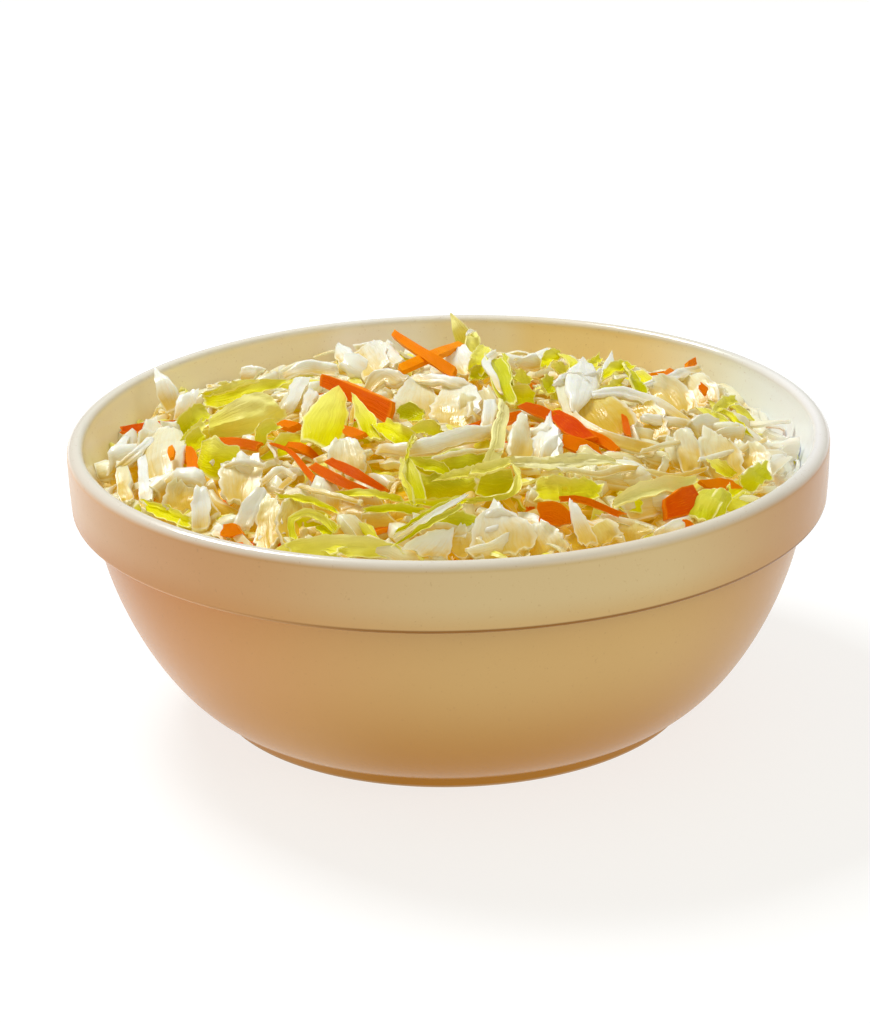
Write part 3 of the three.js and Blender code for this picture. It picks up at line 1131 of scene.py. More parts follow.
def keep_in_bowl(piece):
    """Presses what would go through the wall against it, and lowers what stands too high."""
    place = places(piece)
    radius = np.hypot(place[:, 0], place[:, 1])
    room = wall_radius(place[:, 2]) - POINT_TO_WALL
    squeeze = np.where(radius > room, room / np.maximum(radius, 1e-6), 1)
    place[:, :2] *= squeeze[:, None]
    place[:, 2] = np.minimum(place[:, 2], HIGHEST_POINT)
    piece.data.vertices.foreach_set("co", (place * METRES).ravel())
    piece.data.update()


SHRED_MARKS = ("along", "across", "tint", "rise", "buried")


def shred_marks(board):
    """A wire for each of the marks that a shred's points carry."""
    return [board.node("ShaderNodeAttribute", {"attribute_name": name})["Fac"] for name in SHRED_MARKS]


def fibres(board, along, across, tint, rows, scale, detail=3, roughness=0.5):
    """Grain drawn out along a shred, in rows across it, unlike on any two shreds."""
    place = board.node("ShaderNodeCombineXYZ", None, {"X": 2 * along, "Y": rows * across, "Z": 40 * tint})
    return board.grain(place["Vector"], scale, detail, roughness)


def cut_edge(board, across, along, width):
    """1 on a shred's cut rim, which is as wide as this share of its breadth, and 0 within."""
    sides = board.steps(abs(across), 1 - width, 1.0)
    ends = board.steps(abs(along - 0.5), 0.5 - width / 4, 0.5)
    return sides.maths("MAXIMUM", sides, ends)


# Colours of the cabbage, from heart to rib: painted in its own shade and in the light,
# painted golden shade deep in the heap, a pale cut edge with a painted highlight, painted
# light by the right wall, and the glow of light soaked through
HEART_SHADE = rgb(229, 201, 102)
RIB_SHADE = rgb(212, 174, 36)
HEART_LIGHT = rgb(235, 243, 246)
RIB_LIGHT = rgb(226, 220, 152)
CABBAGE_EDGE_AND_HIGHLIGHT = rgb(242, 249, 248)
CABBAGE_IN_WALL_LIGHT = rgb(244, 243, 234)
CABBAGE_DEEP_SHADE = rgb(217, 171, 0)
GLOW_ON_TOP = rgb(238, 200, 74)
GLOW_DEEP = rgb(234, 188, 2)
GLOW_BY_LIT_WALL = rgb(240, 238, 230)


def cabbage_finish():
    material, board, finish = new_material("white_cabbage")
    place = board.node("ShaderNodeTexCoord")["Object"]
    along, across, tint, rise, buried = shred_marks(board)
    blotch = board.grain(place, 300, detail=3)
    streak = fibres(board, along, across, tint, rows=7, scale=1.4)
    light = rise + 0.35 * (streak - 0.5) + 0.5 * (blotch - 0.5) - 0.6 * buried
    crest = board.steps(light, 0.15 + 0.25 * tint, 0.9 + 0.25 * tint)
    shade = board.mix(tint, HEART_SHADE, RIB_SHADE)
    body = board.mix(crest, shade, board.mix(tint, HEART_LIGHT, RIB_LIGHT))
    # Painted golden shade where the shred lies deep in the heap
    body = board.mix(0.95 * buried, body, CABBAGE_DEEP_SHADE)
    # A pale cut edge with a painted highlight, fading where the shred lies buried
    rim = cut_edge(board, across, along, 0.22) * (1 - 0.6 * buried)
    colour = board.mix(0.6 * rim, body, CABBAGE_EDGE_AND_HIGHLIGHT)
    # Painted light: the cabbage whiter by the right wall
    lit_by_wall = light_by_right_wall(board, measured(board, place, "X"))
    colour = board.mix(0.8 * lit_by_wall, colour, CABBAGE_IN_WALL_LIGHT)
    soaked = board.mix(lit_by_wall, board.mix(buried, GLOW_ON_TOP, GLOW_DEEP), GLOW_BY_LIT_WALL)
    relief = board.bump(blotch, 0.0006, strength=0.35)
    finish(
        {
            "Base Color": colour,
            "Roughness": 0.15 + 0.14 * blotch,
            "Specular IOR Level": 0.4,
            "Subsurface Weight": 0.4,
            "Subsurface Radius": (1.0, 0.85, 0.6),
            "Subsurface Scale": 0.0009,
            "Normal": board.bump(streak, 0.0005, strength=0.25, under=relief),
            "Emission Color": glow(board, 0.09 + 0.13 * buried, soaked),
            "Emission Strength": 1.0,
        }
    )
    return material


def chunk_cut(dice, path=None, **laid):
    """The measures of one stub of the heart, cut at random, with those that are laid down."""
    if path is None:
        path = arch(dice.uniform(5, 10), dice.uniform(-0.6, 1.4), dice.uniform(-1, 1))
    width = dice.uniform(2.8, 5.4)
    return {
        "path": path,
        "widths": width * dice.uniform(0.6, 1.1, 4),
        "thick": dice.uniform(1.7, 2.9),
        "cup": dice.uniform(-0.3, 0.6),
        "twist": (dice.uniform(-20, 0), dice.uniform(0, 20)),
        "ragged": 0.7,
        "jagged": 0.15,
        "blunt": 0.7,
        "steps": 6,
        "lanes": 5,
        **laid,
    }


def rib_cut(dice):
    """The measures of one rib, thick in the middle and tapering to one end."""
    width = dice.uniform(1.3, 2.8)
    return {
        "path": arch(dice.uniform(7, 14), dice.uniform(-0.8, 2.2), dice.uniform(-2, 2)),
        "widths": [width * dice.uniform(0.1, 0.5), width, width * dice.uniform(0.7, 1.1)],
        "thick": dice.uniform(1.1, 2.0),
        "cup": dice.uniform(-0.3, 0.4),
        "twist": (dice.uniform(-40, 0), dice.uniform(0, 40)),
        "ragged": 0.7,
        "jagged": 0.12,
        "blunt": 0.7,
        "steps": 9,
        "lanes": 4,
    }


cabbage = cabbage_finish()
white = Cuttings(1)

# How a listed piece is cut, where its own line doesn't say otherwise
HEART_CUT = {
    "thick": 1.6,
    "tint": 0.3,
    "cup": 0.3,
    "ragged": 0.6,
    "jagged": 0.2,
    "blunt": 0.4,
    "ridges": 0.1,
    "crumple": 0.06,
    "lanes": 8,
}
PLATE_CUT = {
    **HEART_CUT,
    "thick": 1.3,
    "cup": 0.5,
    "wave": 0.25,
    "ragged": 1.2,
    "jagged": 0.35,
    "blunt": 0.2,
    "ridges": 0.14,
    "crumple": 0.09,
    "steps": 14,
    "lanes": 12,
}


def heart(spots, widths, *facing, **cut):
    """A stout piece of the cabbage's heart."""
    white.lay_by_hand(spots, widths, *facing, **{**HEART_CUT, **cut})


def plate(spots, widths, *facing, **cut):
    """A broad slab of the heart, creased from its ragged top down to where it goes under."""
    white.lay_by_hand(spots, widths, *facing, **{**PLATE_CUT, **cut})


def clump(across, down, lift, spread, count, tints=(0.0, 0.6)):
    """A few stubs leaning on each other, within spread pixels of one spot."""
    dice = white.dice
    for _ in range(count):
        middle = on_heap(
            across + dice.uniform(-spread, spread),
            down + 0.6 * dice.uniform(-spread, spread),
            lift - 1.5 + dice.uniform(-1.0, 1.0),
        )
        faces_to = np.array(looking(dice.uniform(30, 68), dice.uniform(-50, 50)))
        level = np.cross(faces_to, (0, 0, 1))
        level /= np.linalg.norm(level)
        rising = np.cross(level, faces_to)
        heading = dice.choice([0, 0, math.pi / 2]) + dice.uniform(-0.45, 0.45)
        ahead = level * math.cos(heading) + rising * math.sin(heading)
        across_it = np.cross(ahead, faces_to)
        shape = arch(dice.uniform(5, 9.5), dice.uniform(-0.6, 1.2), dice.uniform(-0.8, 0.8))
        path = middle + shape @ np.array([ahead, across_it, faces_to])
        tint = dice.uniform(*tints)
        white.add(**chunk_cut(dice, path=path, faces_to=faces_to, tint=tint))


# by the left wall
heart(
    [(155, 368, 9.5), (163, 386, 6.6), (176, 410, 2)], [0.3, 2, 4, 3.4], 60,
    tint=0.1, jagged=0.1, ragged=0.1, blunt=0,
)
plate([(166, 430, 5.5), (162, 458, 4), (166, 492, 1.4)], [5, 8.6, 8, 6], 62, -12, tint=0.45, cup=-0.9)
heart([(142, 452, 4), (150, 436, 5.5), (153, 421, 6.5)], [2.2, 4, 3.4, 1.4], 70, 15, tint=0.2, cup=0.7)
heart([(152, 438, 5.6), (136, 455, 5), (119, 468, 4)], [1.8, 2.2, 1.6], 50, tint=0)
heart([(128, 436, 5), (119, 455, 4), (110, 470, 3)], [1.2, 2.4, 1.8], 55, tint=0)
clump(128, 456, 4, 8, 3, (0, 0.2))
heart([(122, 464, 4), (127, 504, 1.5)], [2.2, 2.8, 2.6], 72, tint=0.6)
heart([(142, 460, 4), (148, 503, 1.5)], [1.7, 2.2, 2.6], 75, tint=-0.8)
clump(160, 452, 3.5, 15, 4)
clump(128, 482, 2, 12, 3)
heart([(168, 484, 3.6), (184, 476, 5), (204, 482, 4)], [2, 3.8, 3], 50, tint=0.1, cup=-0.6, jagged=0.3)
plate([(186, 484, 4.2), (184, 496, 2.8), (186, 512, 1.2)], [5, 7.5, 6], 62, tint=0.6)
clump(184, 492, 2.5, 17, 4, (0.2, 0.9))
heart([(190, 393, 6), (179, 420, 3)], [3.2, 3.6, 2.4], 65, tint=0)
heart([(242, 374, 4), (262, 372, 4)], [2.8, 3, 1.4], 60, tint=0)
heart([(281, 377, 4.5), (310, 368, 5), (338, 372, 4)], [1.4, 3, 2.6], 45, tint=0.05)
heart([(302, 380, 5), (290, 405, 4), (278, 422, 2)], [3, 2.6, 1.3], 60, tint=0.1)
heart([(313, 393, 4), (302, 424, 2)], [2.6, 1.8, 1.2], 60, tint=0.1)
clump(296, 402, 2.5, 16, 3)
plate([(242, 460, 5), (240, 480, 3.6), (238, 506, 1.6)], [6.4, 8, 7, 5], 60, tint=0.45)
clump(240, 470, 4, 14, 3, (0, 0.5))
clump(212, 505, 2, 14, 3, (0.3, 0.9))
heart([(202, 488, 5), (201, 530, 1)], [2.3, 3.3, 3.4], 78, tint=-0.6)
heart([(262, 489, 5), (246, 518, 2.5), (240, 532, 1.5)], [2.2, 3.8, 3.2], 66, tint=-1.0)
plate([(272, 498, 3.8), (270, 522, 2), (272, 550, 0.6)], [3, 5, 5.4], 66, -15, tint=0.8)
plate([(294, 502, 3.2), (290, 524, 1.8), (292, 548, 0.6)], [3.4, 5.4, 5], 62, 20, tint=0.95)
heart([(213, 530, 2), (228, 538, 1)], [2.2, 2], 50, tint=0.1)
clump(256, 448, 2.5, 12, 3)
# along the back
heart([(338, 344, 5.5), (350, 366, 2)], [0.8, 3.4, 3], 70, tint=0.0)
heart([(357, 352, 4.5), (378, 350, 5), (400, 366, 3.5)], [2.6, 3.8, 3], 60, tint=0.15)
plate([(362, 350, 5), (372, 360, 4), (378, 374, 2.4)], [5, 7, 6], 60, -8, tint=0.1)
clump(378, 362, 3.5, 17, 3, (0, 0.4))
clump(352, 372, 3, 14, 3, (0.2, 0.8))
plate([(420, 384, 4.6), (416, 404, 3), (410, 430, 1)], [5, 8, 9.5, 7], 58, 8, tint=0.35, ridges=0.07)
plate(
    [(458, 386, 4.8), (456, 406, 3.4), (450, 428, 1.4)], [5, 8.6, 9.6, 7], 62, -14,
    tint=0.25, ridges=0.05, crumple=0.05,
)
plate([(480, 392, 4.8), (484, 408, 3.2), (480, 424, 1.8)], [4, 6.5, 6], 58, 16, tint=0.6, ridges=0.07)
heart([(369, 392, 3.6), (384, 377, 5.4), (405, 383, 4.8)], [2.6, 3.8, 3], 48, tint=0.2, cup=0.6, jagged=0.3)
heart([(412, 380, 5), (440, 382, 5.4), (466, 388, 5)], [1.6, 2.6, 2], 40, tint=0.0, jagged=0.35)
heart(
    [(501, 394, 5), (492, 374, 6), (487, 361, 6.6), (495, 353, 6.7)], [0.6, 1.2, 2, 1.2], 70,
    tint=0.0, thick=1, jagged=0.08,
)
plate([(458, 352, 5), (462, 364, 3.6), (466, 376, 2)], [3.6, 5.4, 4.4], 62, tint=0.0, lanes=8)
clump(456, 388, 3, 12, 2, (0, 0.5))
clump(470, 412, 2.5, 14, 3, (0.2, 0.8))
heart([(516, 364, 4.5), (542, 362, 4.5)], [2, 3.2, 2.2], 60, tint=0.0)
heart([(467, 334, 7.4), (474, 331, 7.4)], [0.4, 0.8, 0.4], 60, tint=-1, thick=0.6)
clump(532, 366, 3.5, 12, 3, (0, 0.4))
plate(
    [(584, 359, 6.6), (583, 376, 6), (579, 394, 5.6), (574, 414, 4)], [0.5, 4.6, 7, 5, 1.2], 72,
    tint=-1.0, cup=-0.3, ragged=0.2,
)
plate(
    [(553, 385, 5.4), (570, 381, 5.6), (590, 388, 5)], [0.4, 3, 4, 1.6], 70,
    tint=-1.0, lanes=8, cup=0.2, wave=0.05, ragged=0.2,
)
plate(
    [(580, 384, 5.2), (592, 377, 5.8), (601, 370, 6)], [3.6, 3, 1.4, 0.4], 70,
    tint=-1.0, lanes=8, cup=0.2, wave=0.05, ragged=0.2,
)
heart([(604, 388, 3), (612, 353, 6.5)], [3, 2.2, 0.4], 70, tint=-0.6)
clump(582, 392, 2.5, 16, 3, (0.1, 0.7))
plate([(654, 384, 5), (668, 394, 4), (680, 414, 2)], [4.6, 8, 7], 58, 10, tint=0.45)
plate([(690, 376, 5.4), (698, 390, 4), (706, 408, 2)], [4, 6.6, 6], 60, -10, tint=0.5)
heart([(644, 386, 4.6), (672, 378, 5.4), (700, 370, 5.6)], [1.0, 2.2, 1.8], 45, tint=0.0)
plate([(592, 397, 4.4), (602, 414, 3.4), (622, 440, 1.6)], [5, 9.6, 10.5, 8], 58, 12, tint=1.8, ridges=0.08)
plate([(636, 404, 4.2), (644, 420, 2.8), (650, 440, 1.4)], [5, 8, 7.5], 58, -12, tint=1.5, ridges=0.08)
heart(
    [(588, 396, 5), (622, 394, 5.4), (658, 404, 5), (690, 423, 4)], [1.4, 2.4, 2.6, 1.4], 42,
    tint=0.0, steps=14,
)
heart([(640, 418, 4), (688, 426, 3.5)], [1.8, 2.2, 1.4], 40, tint=0.1)
clump(706, 400, 3.5, 10, 3, (0.2, 0.8))
# across the middle
heart(
    [(378, 450, 4), (410, 450, 5), (452, 440, 5), (492, 430, 4.5)], [1.6, 2.6, 3.4, 2.6], 50,
    tint=0.1, steps=14,
)
plate([(344, 442, 4.6), (346, 456, 3.4), (350, 474, 1.6)], [4, 6.6, 6], 60, 10, tint=0.4)
clump(346, 454, 3, 14, 3, (0.1, 0.7))
heart([(488, 436, 3.6), (491, 402, 6.4)], [2.6, 2.8, 2.4], 82, tint=0.0, ragged=0.4)
plate(
    [(523, 414, 6.2), (521, 436, 4.6), (518, 464, 2)], [0.8, 3.4, 5, 5], 70, 20,
    tint=0.4, ragged=0.4, ridges=0.12, lanes=8,
)
plate(
    [(549, 414, 6.2), (548, 436, 4.6), (547, 464, 2)], [0.8, 3.2, 5, 5.4], 70, -22,
    tint=-0.6, ragged=0.4, ridges=0.12, lanes=8,
)
heart([(560, 436, 5), (553, 448, 4), (549, 464, 2)], [1, 3.2, 4], 70, 10, tint=0.1)
clump(536, 452, 2.5, 15, 4, (0.1, 0.6))
heart(
    [(560, 384, 5), (573, 418, 3.5), (610, 440, 3.5), (657, 452, 3.5)], [2.2, 2, 2.4, 2.6], 55,
    tint=0.4, steps=16, jagged=0.1,
)
clump(612, 424, 1.8, 20, 4, (0.5, 1))
clump(640, 434, 2, 18, 4, (0.3, 0.9))
# towards the right
heart([(683, 430, 6), (692, 472, 2)], [3.4, 4.2, 3.8], 72, tint=0.4)
plate([(716, 434, 4.4), (720, 456, 3), (726, 482, 1.2)], [4.6, 7.6, 8, 6], 62, 14, tint=0.5)
plate([(748, 444, 3.4), (752, 462, 2), (756, 482, 0.8)], [4.6, 7, 7], 60, -14, tint=0.6)
clump(718, 434, 4, 13, 3, (0, 0.4))
clump(672, 456, 2.8, 13, 3, (0.2, 0.7))
clump(762, 456, 2, 17, 5, (0.1, 0.7))
heart([(745, 480, 2), (772, 466, 2), (788, 456, 2)], [2.4, 3, 1.6], 50, tint=0.1)
clump(652, 510, 3, 11, 3, (0, 0.5))
heart([(574, 501, 6), (580, 524, 4), (588, 546, 2)], [1.4, 2.6, 3.2], 74, tint=0.05)
clump(612, 468, 2.5, 18, 4, (0.2, 0.8))
clump(598, 486, 2, 16, 3, (0.3, 0.9))
# along the near edge
plate([(449, 530, 3.6), (438, 542, 2.6), (426, 557, 1)], [0.6, 5.4, 8.6], 60, 12, tint=-0.3)
plate([(468, 530, 3), (466, 542, 2), (464, 556, 0.8)], [3, 6, 7], 58, -10, tint=0.5)
clump(440, 540, 3, 14, 3, (0, 0.4))
clump(530, 534, 2.2, 16, 3, (0, 0.6))
plate([(498, 504, 4.8), (500, 526, 3.6), (506, 555, 0.8)], [1, 7.6, 11, 10], 60, 6, tint=0.2)
plate([(536, 524, 3.4), (542, 538, 2.2), (548, 554, 0.8)], [3, 6.6, 8], 58, -14, tint=0.25)
clump(506, 538, 3.4, 14, 3, (0, 0.2))
heart([(484, 528, 3), (498, 518, 4), (512, 522, 3.4)], [2.2, 3.2, 2.4], 60, tint=0.0, jagged=0.3)
plate([(588, 528, 2.8), (592, 540, 1.8), (596, 551, 0.8)], [8, 10, 9], 56, 8, tint=1.0)
plate([(628, 524, 2.4), (630, 536, 1.4), (634, 546, 0.6)], [6, 9, 8], 56, -8, tint=0.9)
clump(548, 534, 3, 13, 3, (0, 0.4))
clump(612, 532, 1.8, 24, 5, (0.2, 0.8))
clump(360, 518, 2, 20, 5, (0.1, 0.7))
clump(318, 504, 2, 16, 3, (0.2, 0.8))
heart(
    [(652, 536, 1.4), (672, 528, 2.2), (692, 520, 1.6)], [1.4, 2, 1.2], 55,
    tint=0.0, ragged=0.2, jagged=0.05,
)
heart(
    [(397, 538, 4.6), (430, 517, 6), (467, 495, 6.4)], [0.4, 1.2, 0.6], 50,
    tint=-1, thick=0.8, jagged=0.05, ridges=0,
)

white_piece = white.make("white_cabbage")
scatter(
    white_piece,
    loose_shreds("chunk", 100, 14 * [chunk_cut]) + loose_shreds("rib", 200, 10 * [rib_cut]),
    spacing=4.4,
    lean=32,
    lift=(-1.8, 0.6),
    seed=3,
    material=cabbage,
    crisp=75,
)


# ---- Fine shreds ------------------------------------------------------------------------
# The thin threads that the shredder makes of the cabbage's inner leaves, and the crumbs
# that break off: about a millimetre wide, up to 20 mm long, limp and wavy. They lie between
# and over the stouter pieces.
def thread_cut(dice):
    """The measures of one thread, wavy and twisted."""
    path = arch(dice.uniform(8, 18), dice.uniform(-0.5, 2.5), dice.uniform(-3, 3))
    path[1:-1, 1:] += dice.uniform(-0.8, 0.8, (3, 2))
    width = dice.uniform(0.8, 1.6)
    return {
        "path": path,
        "widths": width * dice.uniform(0.5, 1.1, 4),
        "thick": dice.uniform(0.45, 0.8),
        "twist": (dice.uniform(-60, 0), dice.uniform(0, 60)),
        "wave": 0.15,
        "jagged": 0.12,
        "edge": 0.7,
        "uneven": 0.12,
        "steps": 12,
        "lanes": 3,
    }


def crumb_cut(dice):
    """The measures of one crumb."""
    return {
        "path": arch(dice.uniform(1.6, 3.4), dice.uniform(-0.2, 0.4), dice.uniform(-0.3, 0.3)),
        "widths": dice.uniform(0.9, 1.9) * dice.uniform(0.6, 1.0, 3),
        "thick": dice.uniform(0.7, 1.3),
        "ragged": 0.4,
        "jagged": 0.1,
        "edge": 0.7,
        "blunt": 0.5,
        "uneven": 0.08,
        "steps": 4,
        "lanes": 3,
    }


# The same for a listed thread
THREAD_CUT = {
    "tilt": 50,
    "thick": 0.7,
    "ragged": 0.5,
    "jagged": 0.1,
    "edge": 0.7,
    "steps": 14,
    "lanes": 4,
}
threads = Cuttings(4)


def thread(spots, widths, **cut):
    """A fine shred."""
    threads.lay_by_hand(spots, widths, **{**THREAD_CUT, **cut})


thread([(226, 466, 5.4), (242, 462, 6), (264, 466, 5)], [0.8, 1.2, 0.8], tint=0.1)
thread([(262, 484, 5), (280, 470, 5.5), (296, 478, 4.5)], [0.8, 1.2, 0.9], tint=0.2)
thread([(356, 400, 5), (350, 425, 4)], [0.8, 1, 0.7], tint=0.9)
thread([(560, 470, 4.5), (600, 474, 4.6), (646, 466, 4)], [0.8, 1.4, 0.9], tint=0.6)
thread([(642, 452, 4.4), (668, 444, 4.8), (690, 440, 4.5)], [0.7, 1, 0.7], tint=0.5)
thread([(640, 470, 4), (672, 476, 4.2), (706, 468, 3.6)], [0.8, 1.2, 0.7], tint=0.8)
thread([(600, 516, 3.4), (626, 522, 3), (656, 532, 2)], [0.8, 1.3, 0.8], tint=0.4)
thread([(430, 460, 5.4), (470, 452, 5.2), (500, 450, 5)], [0.7, 1, 0.7], tint=0.5)
thread([(300, 486, 4.4), (330, 494, 4.6), (362, 502, 4)], [0.7, 1.1, 0.8], tint=0.7)
thread([(700, 460, 4), (730, 452, 3.6), (768, 440, 3)], [0.8, 1.1, 0.7], tint=0.2)

thread_piece = threads.make("fine_shreds")
scatter(
    thread_piece,
    loose_shreds("thread", 500, 12 * [thread_cut]) + loose_shreds("bit", 600, 4 * [crumb_cut]),
    spacing=4.6,
    lean=30,
    lift=(-0.8, 0.8),
    seed=13,
    material=cabbage,
    crisp=60,
)


# ---- Green leaf -------------------------------------------------------------------------
# Thin pieces of the outer leaves, half a millimetre thick. They are yellow-green with
# paler veins and a pale cut edge with a painted highlight on it, whiter where they come
# from further in. Light and shade are painted on them by height, with golden shade where
# they lie deep. They fold, cup and curl as cut leaf does.
INNER_LEAF = rgb(242, 237, 134)
YELLOW_LEAF = rgb(238, 235, 2)
OUTER_LEAF = rgb(196, 198, 0)
LEAF_BLOTCH = rgb(226, 212, 2)
PALE_VEIN = rgb(242, 238, 80)
DARK_VEIN = rgb(198, 194, 0)
LEAF_LIGHT = rgb(248, 242, 190)
LEAF_SHADE = rgb(208, 198, 0)
LEAF_RIB = rgb(244, 240, 196)
LEAF_DEEP_SHADE = rgb(202, 180, 0)
LEAF_EDGE_AND_HIGHLIGHT = rgb(252, 250, 184)
LEAF_GLOW = rgb(224, 216, 0)


def leaf_finish():
    material, board, finish = new_material("cabbage_leaf")
    place = board.node("ShaderNodeTexCoord")["Object"]
    along, across, tint, rise, buried = shred_marks(board)
    blotch = board.grain(place, 200, detail=3)
    vein = fibres(board, along, across, tint, rows=5, scale=1.5, detail=4, roughness=0.6)
    body = board.mix(board.steps(tint, 0.0, 0.5), INNER_LEAF, YELLOW_LEAF)
    body = board.mix(board.steps(tint, 0.5, 1.0), body, OUTER_LEAF)
    body = board.mix(0.35 * board.steps(blotch, 0.4, 0.7), body, LEAF_BLOTCH)
    body = board.mix(0.3 * board.steps(vein, 0.52, 0.68), body, PALE_VEIN)
    body = board.mix(0.35 * board.steps(vein, 0.45, 0.28), body, DARK_VEIN)
    body = board.mix((0.6 - 0.45 * tint) * board.steps(rise, 0.4, 1.0), body, LEAF_LIGHT)
    body = board.mix(0.5 - 0.5 * board.steps(rise, 0.0, 0.5), body, LEAF_SHADE)
    body = board.mix(board.steps(tint, 0, -1), body, LEAF_RIB)
    # Painted golden shade where the leaf lies deep in the heap
    body = board.mix(0.8 * buried, body, LEAF_DEEP_SHADE)
    # A pale cut edge with a painted highlight, fading where the leaf lies buried
    rim = cut_edge(board, across, along, 0.16) * (1 - 0.5 * buried)
    colour = board.mix(0.85 * rim, body, LEAF_EDGE_AND_HIGHLIGHT)
    relief = board.bump(blotch, 0.0005, strength=0.35)
    finish(
        {
            "Base Color": colour,
            "Roughness": 0.12 + 0.12 * blotch,
            "Specular IOR Level": 0.05,
            "Normal": board.bump(vein, 0.0005, strength=0.45, under=relief),
            "Emission Color": glow(board, 0.09 + 0.08 * buried, LEAF_GLOW),
            "Emission Strength": 1.0,
        }
    )
    return material


def leaf_cut(dice):
    """The measures of one piece of leaf, curled and torn."""
    width = dice.uniform(2.0, 5.2)
    return {
        "path": arch(dice.uniform(6, 15), dice.uniform(-1, 3), dice.uniform(-2, 2)),
        "widths": width * dice.uniform(0.35, 1.1, 5),
        "thick": dice.uniform(0.4, 0.6),
        "cup": dice.uniform(-1.2, 1.8),
        "twist": (dice.uniform(-60, 0), dice.uniform(0, 60)),
        "wave": 0.4,
        "ragged": 1.2,
        "jagged": 0.4,
        "ridges": 0.2,
        "edge": 0.8,
        "crumple": 0.2,
        "lanes": 5,
    }


# The same for a listed leaf
LEAF_CUT = {
    "thick": 0.5,
    "cup": 0.6,
    "wave": 0.2,
    "ragged": 0.7,
    "ridges": 0.12,
    "edge": 0.8,
    "crumple": 0.12,
    "steps": 16,
    "lanes": 9,
}
green = Cuttings(2)


def leaf(spots, widths, *facing, **cut):
    """A piece of leaf, or a strip of its pale vein."""
    green.lay_by_hand(spots, widths, *facing, **{**LEAF_CUT, **cut})


# by the left wall
leaf([(178, 432, 4), (190, 420, 5.5), (206, 410, 5.5)], [2.2, 4.2, 3], 62, tint=0.75)
leaf([(180, 448, 4), (204, 424, 5)], [1.2, 2.6, 1.6], 55, tint=0.2)
leaf([(186, 452, 3.5), (204, 434, 4.5)], [2, 4, 3.6], 62, tint=0.7)
leaf(
    [(204, 402, 5.5), (224, 396, 6.4), (250, 388, 6.4), (288, 380, 5)], [3.2, 4.6, 2.6, 1], 46,
    tint=0.45, cup=0.9,
)
leaf([(208, 396, 7.4), (230, 388, 8), (254, 382, 7.6)], [0.5, 1.3, 0.6], 36, tint=0.0, jagged=0.3)
leaf(
    [(210, 428, 4), (232, 421, 5.4), (254, 413, 6), (275, 403, 5.6)], [4.6, 6.4, 8, 6.4], 60,
    tint=0.15, cup=-0.8, ridges=0.2, lanes=12,
)
leaf(
    [(199, 455, 4.8), (216, 459, 5.4), (240, 459, 4.6)], [4.8, 7.2, 4.4], 70,
    tint=0.5, cup=0.3, jagged=0.05, ragged=0.2, ridges=0.06,
)
leaf([(260, 446, 3.5), (262, 430, 5.5), (277, 424, 5)], [2.2, 2.6, 2], 60, 30, tint=0.35, cup=1.2)
leaf([(142, 503, 2), (166, 513, 2), (190, 523, 1.6)], [1.2, 2.6, 2], 60, tint=0.55, jagged=0.08, wave=0.05)
# across the middle
leaf(
    [(316, 446, 2.6), (324, 428, 4), (333, 406, 5.4), (341, 383, 6.5)], [6, 8.4, 6.8, 3.8, 0.2], 68,
    tint=0.6, cup=-0.5, jagged=0.05, wave=0.05, ragged=0.2, ridges=0.1, lanes=12,
)
leaf([(352, 394, 6.6), (362, 414, 5.4), (374, 440, 3)], [0.6, 3, 3.8], 64, 25, tint=0.55, jagged=0.15)
leaf([(376, 424, 4.5), (396, 434, 5), (412, 442, 4)], [2.2, 4, 3.4], 50, tint=0.6, wave=0.7)
leaf([(412, 432, 5), (428, 428, 5.5), (442, 438, 4)], [1.6, 3, 2], 60, tint=0.45)
leaf([(406, 462, 6), (409, 448, 7), (414, 438, 6.4)], [0.5, 0.6, 0.5], 60, tint=0.3, ridges=0, lanes=4)
leaf(
    [(405, 458, 5.6), (411, 480, 5), (421, 505, 3.2)], [1.2, 3.4, 2.6], 62, -25,
    tint=0.85, crumple=0.05, jagged=0.08,
)
leaf(
    [(402, 460, 6), (406, 482, 5.4), (414, 505, 3.6)], [0.5, 1, 0.7], 62, -25,
    tint=0.25, crumple=0.03, thick=0.7,
)
leaf(
    [(408, 463, 3.6), (440, 464, 3.4), (470, 463, 3.2), (496, 460, 3)], [2, 4, 5, 4.8], 62,
    tint=1, cup=-0.6, steps=20, crumple=0.04, jagged=0.08,
)
leaf(
    [(408, 459, 6), (430, 466, 5.8), (452, 475, 5.4)], [0.8, 2.4, 1], 58,
    tint=0.8, thick=0.6, crumple=0.05,
)
leaf(
    [(412, 486, 2.8), (440, 487, 2.8), (476, 488, 2.6)], [4.2, 5, 4], 62,
    tint=0.95, cup=-0.4, steps=20, ridges=0.2, crumple=0.05, jagged=0.1,
)
leaf(
    [(436, 480, 5.6), (456, 474, 6), (478, 470, 6.2)], [0.4, 1.9, 1.5], 48,
    tint=0.15, thick=0.8, crumple=0.04,
)
leaf(
    [(470, 472, 6.2), (492, 468, 6.3), (510, 462, 6)], [1.4, 2.2, 1.2], 44,
    tint=0.05, thick=0.8, crumple=0.04,
)
leaf(
    [(478, 483, 3.6), (498, 485, 3.2), (515, 481, 3.8)], [4, 5.6, 4.2], 62,
    tint=0.9, cup=1.4, steps=16, crumple=0.04, jagged=0.08, ragged=0.3,
)
leaf(
    [(514, 466, 6.2), (519, 480, 5.6), (512, 493, 4.8), (492, 499, 4.4), (466, 501, 4)],
    [0.7, 1, 1, 0.7], 62,
    tint=0.2, thick=0.8, crumple=0.03,
)
leaf([(408, 504, 3.6), (440, 502, 3.8), (472, 501, 3.8)], [0.9, 1.3, 0.9], 58, tint=0.55, crumple=0.04)
leaf([(394, 534, 4.4), (428, 512, 5.8), (462, 495, 6.2)], [0.4, 0.9, 0.6], 58, tint=0.75, lanes=4, ridges=0)
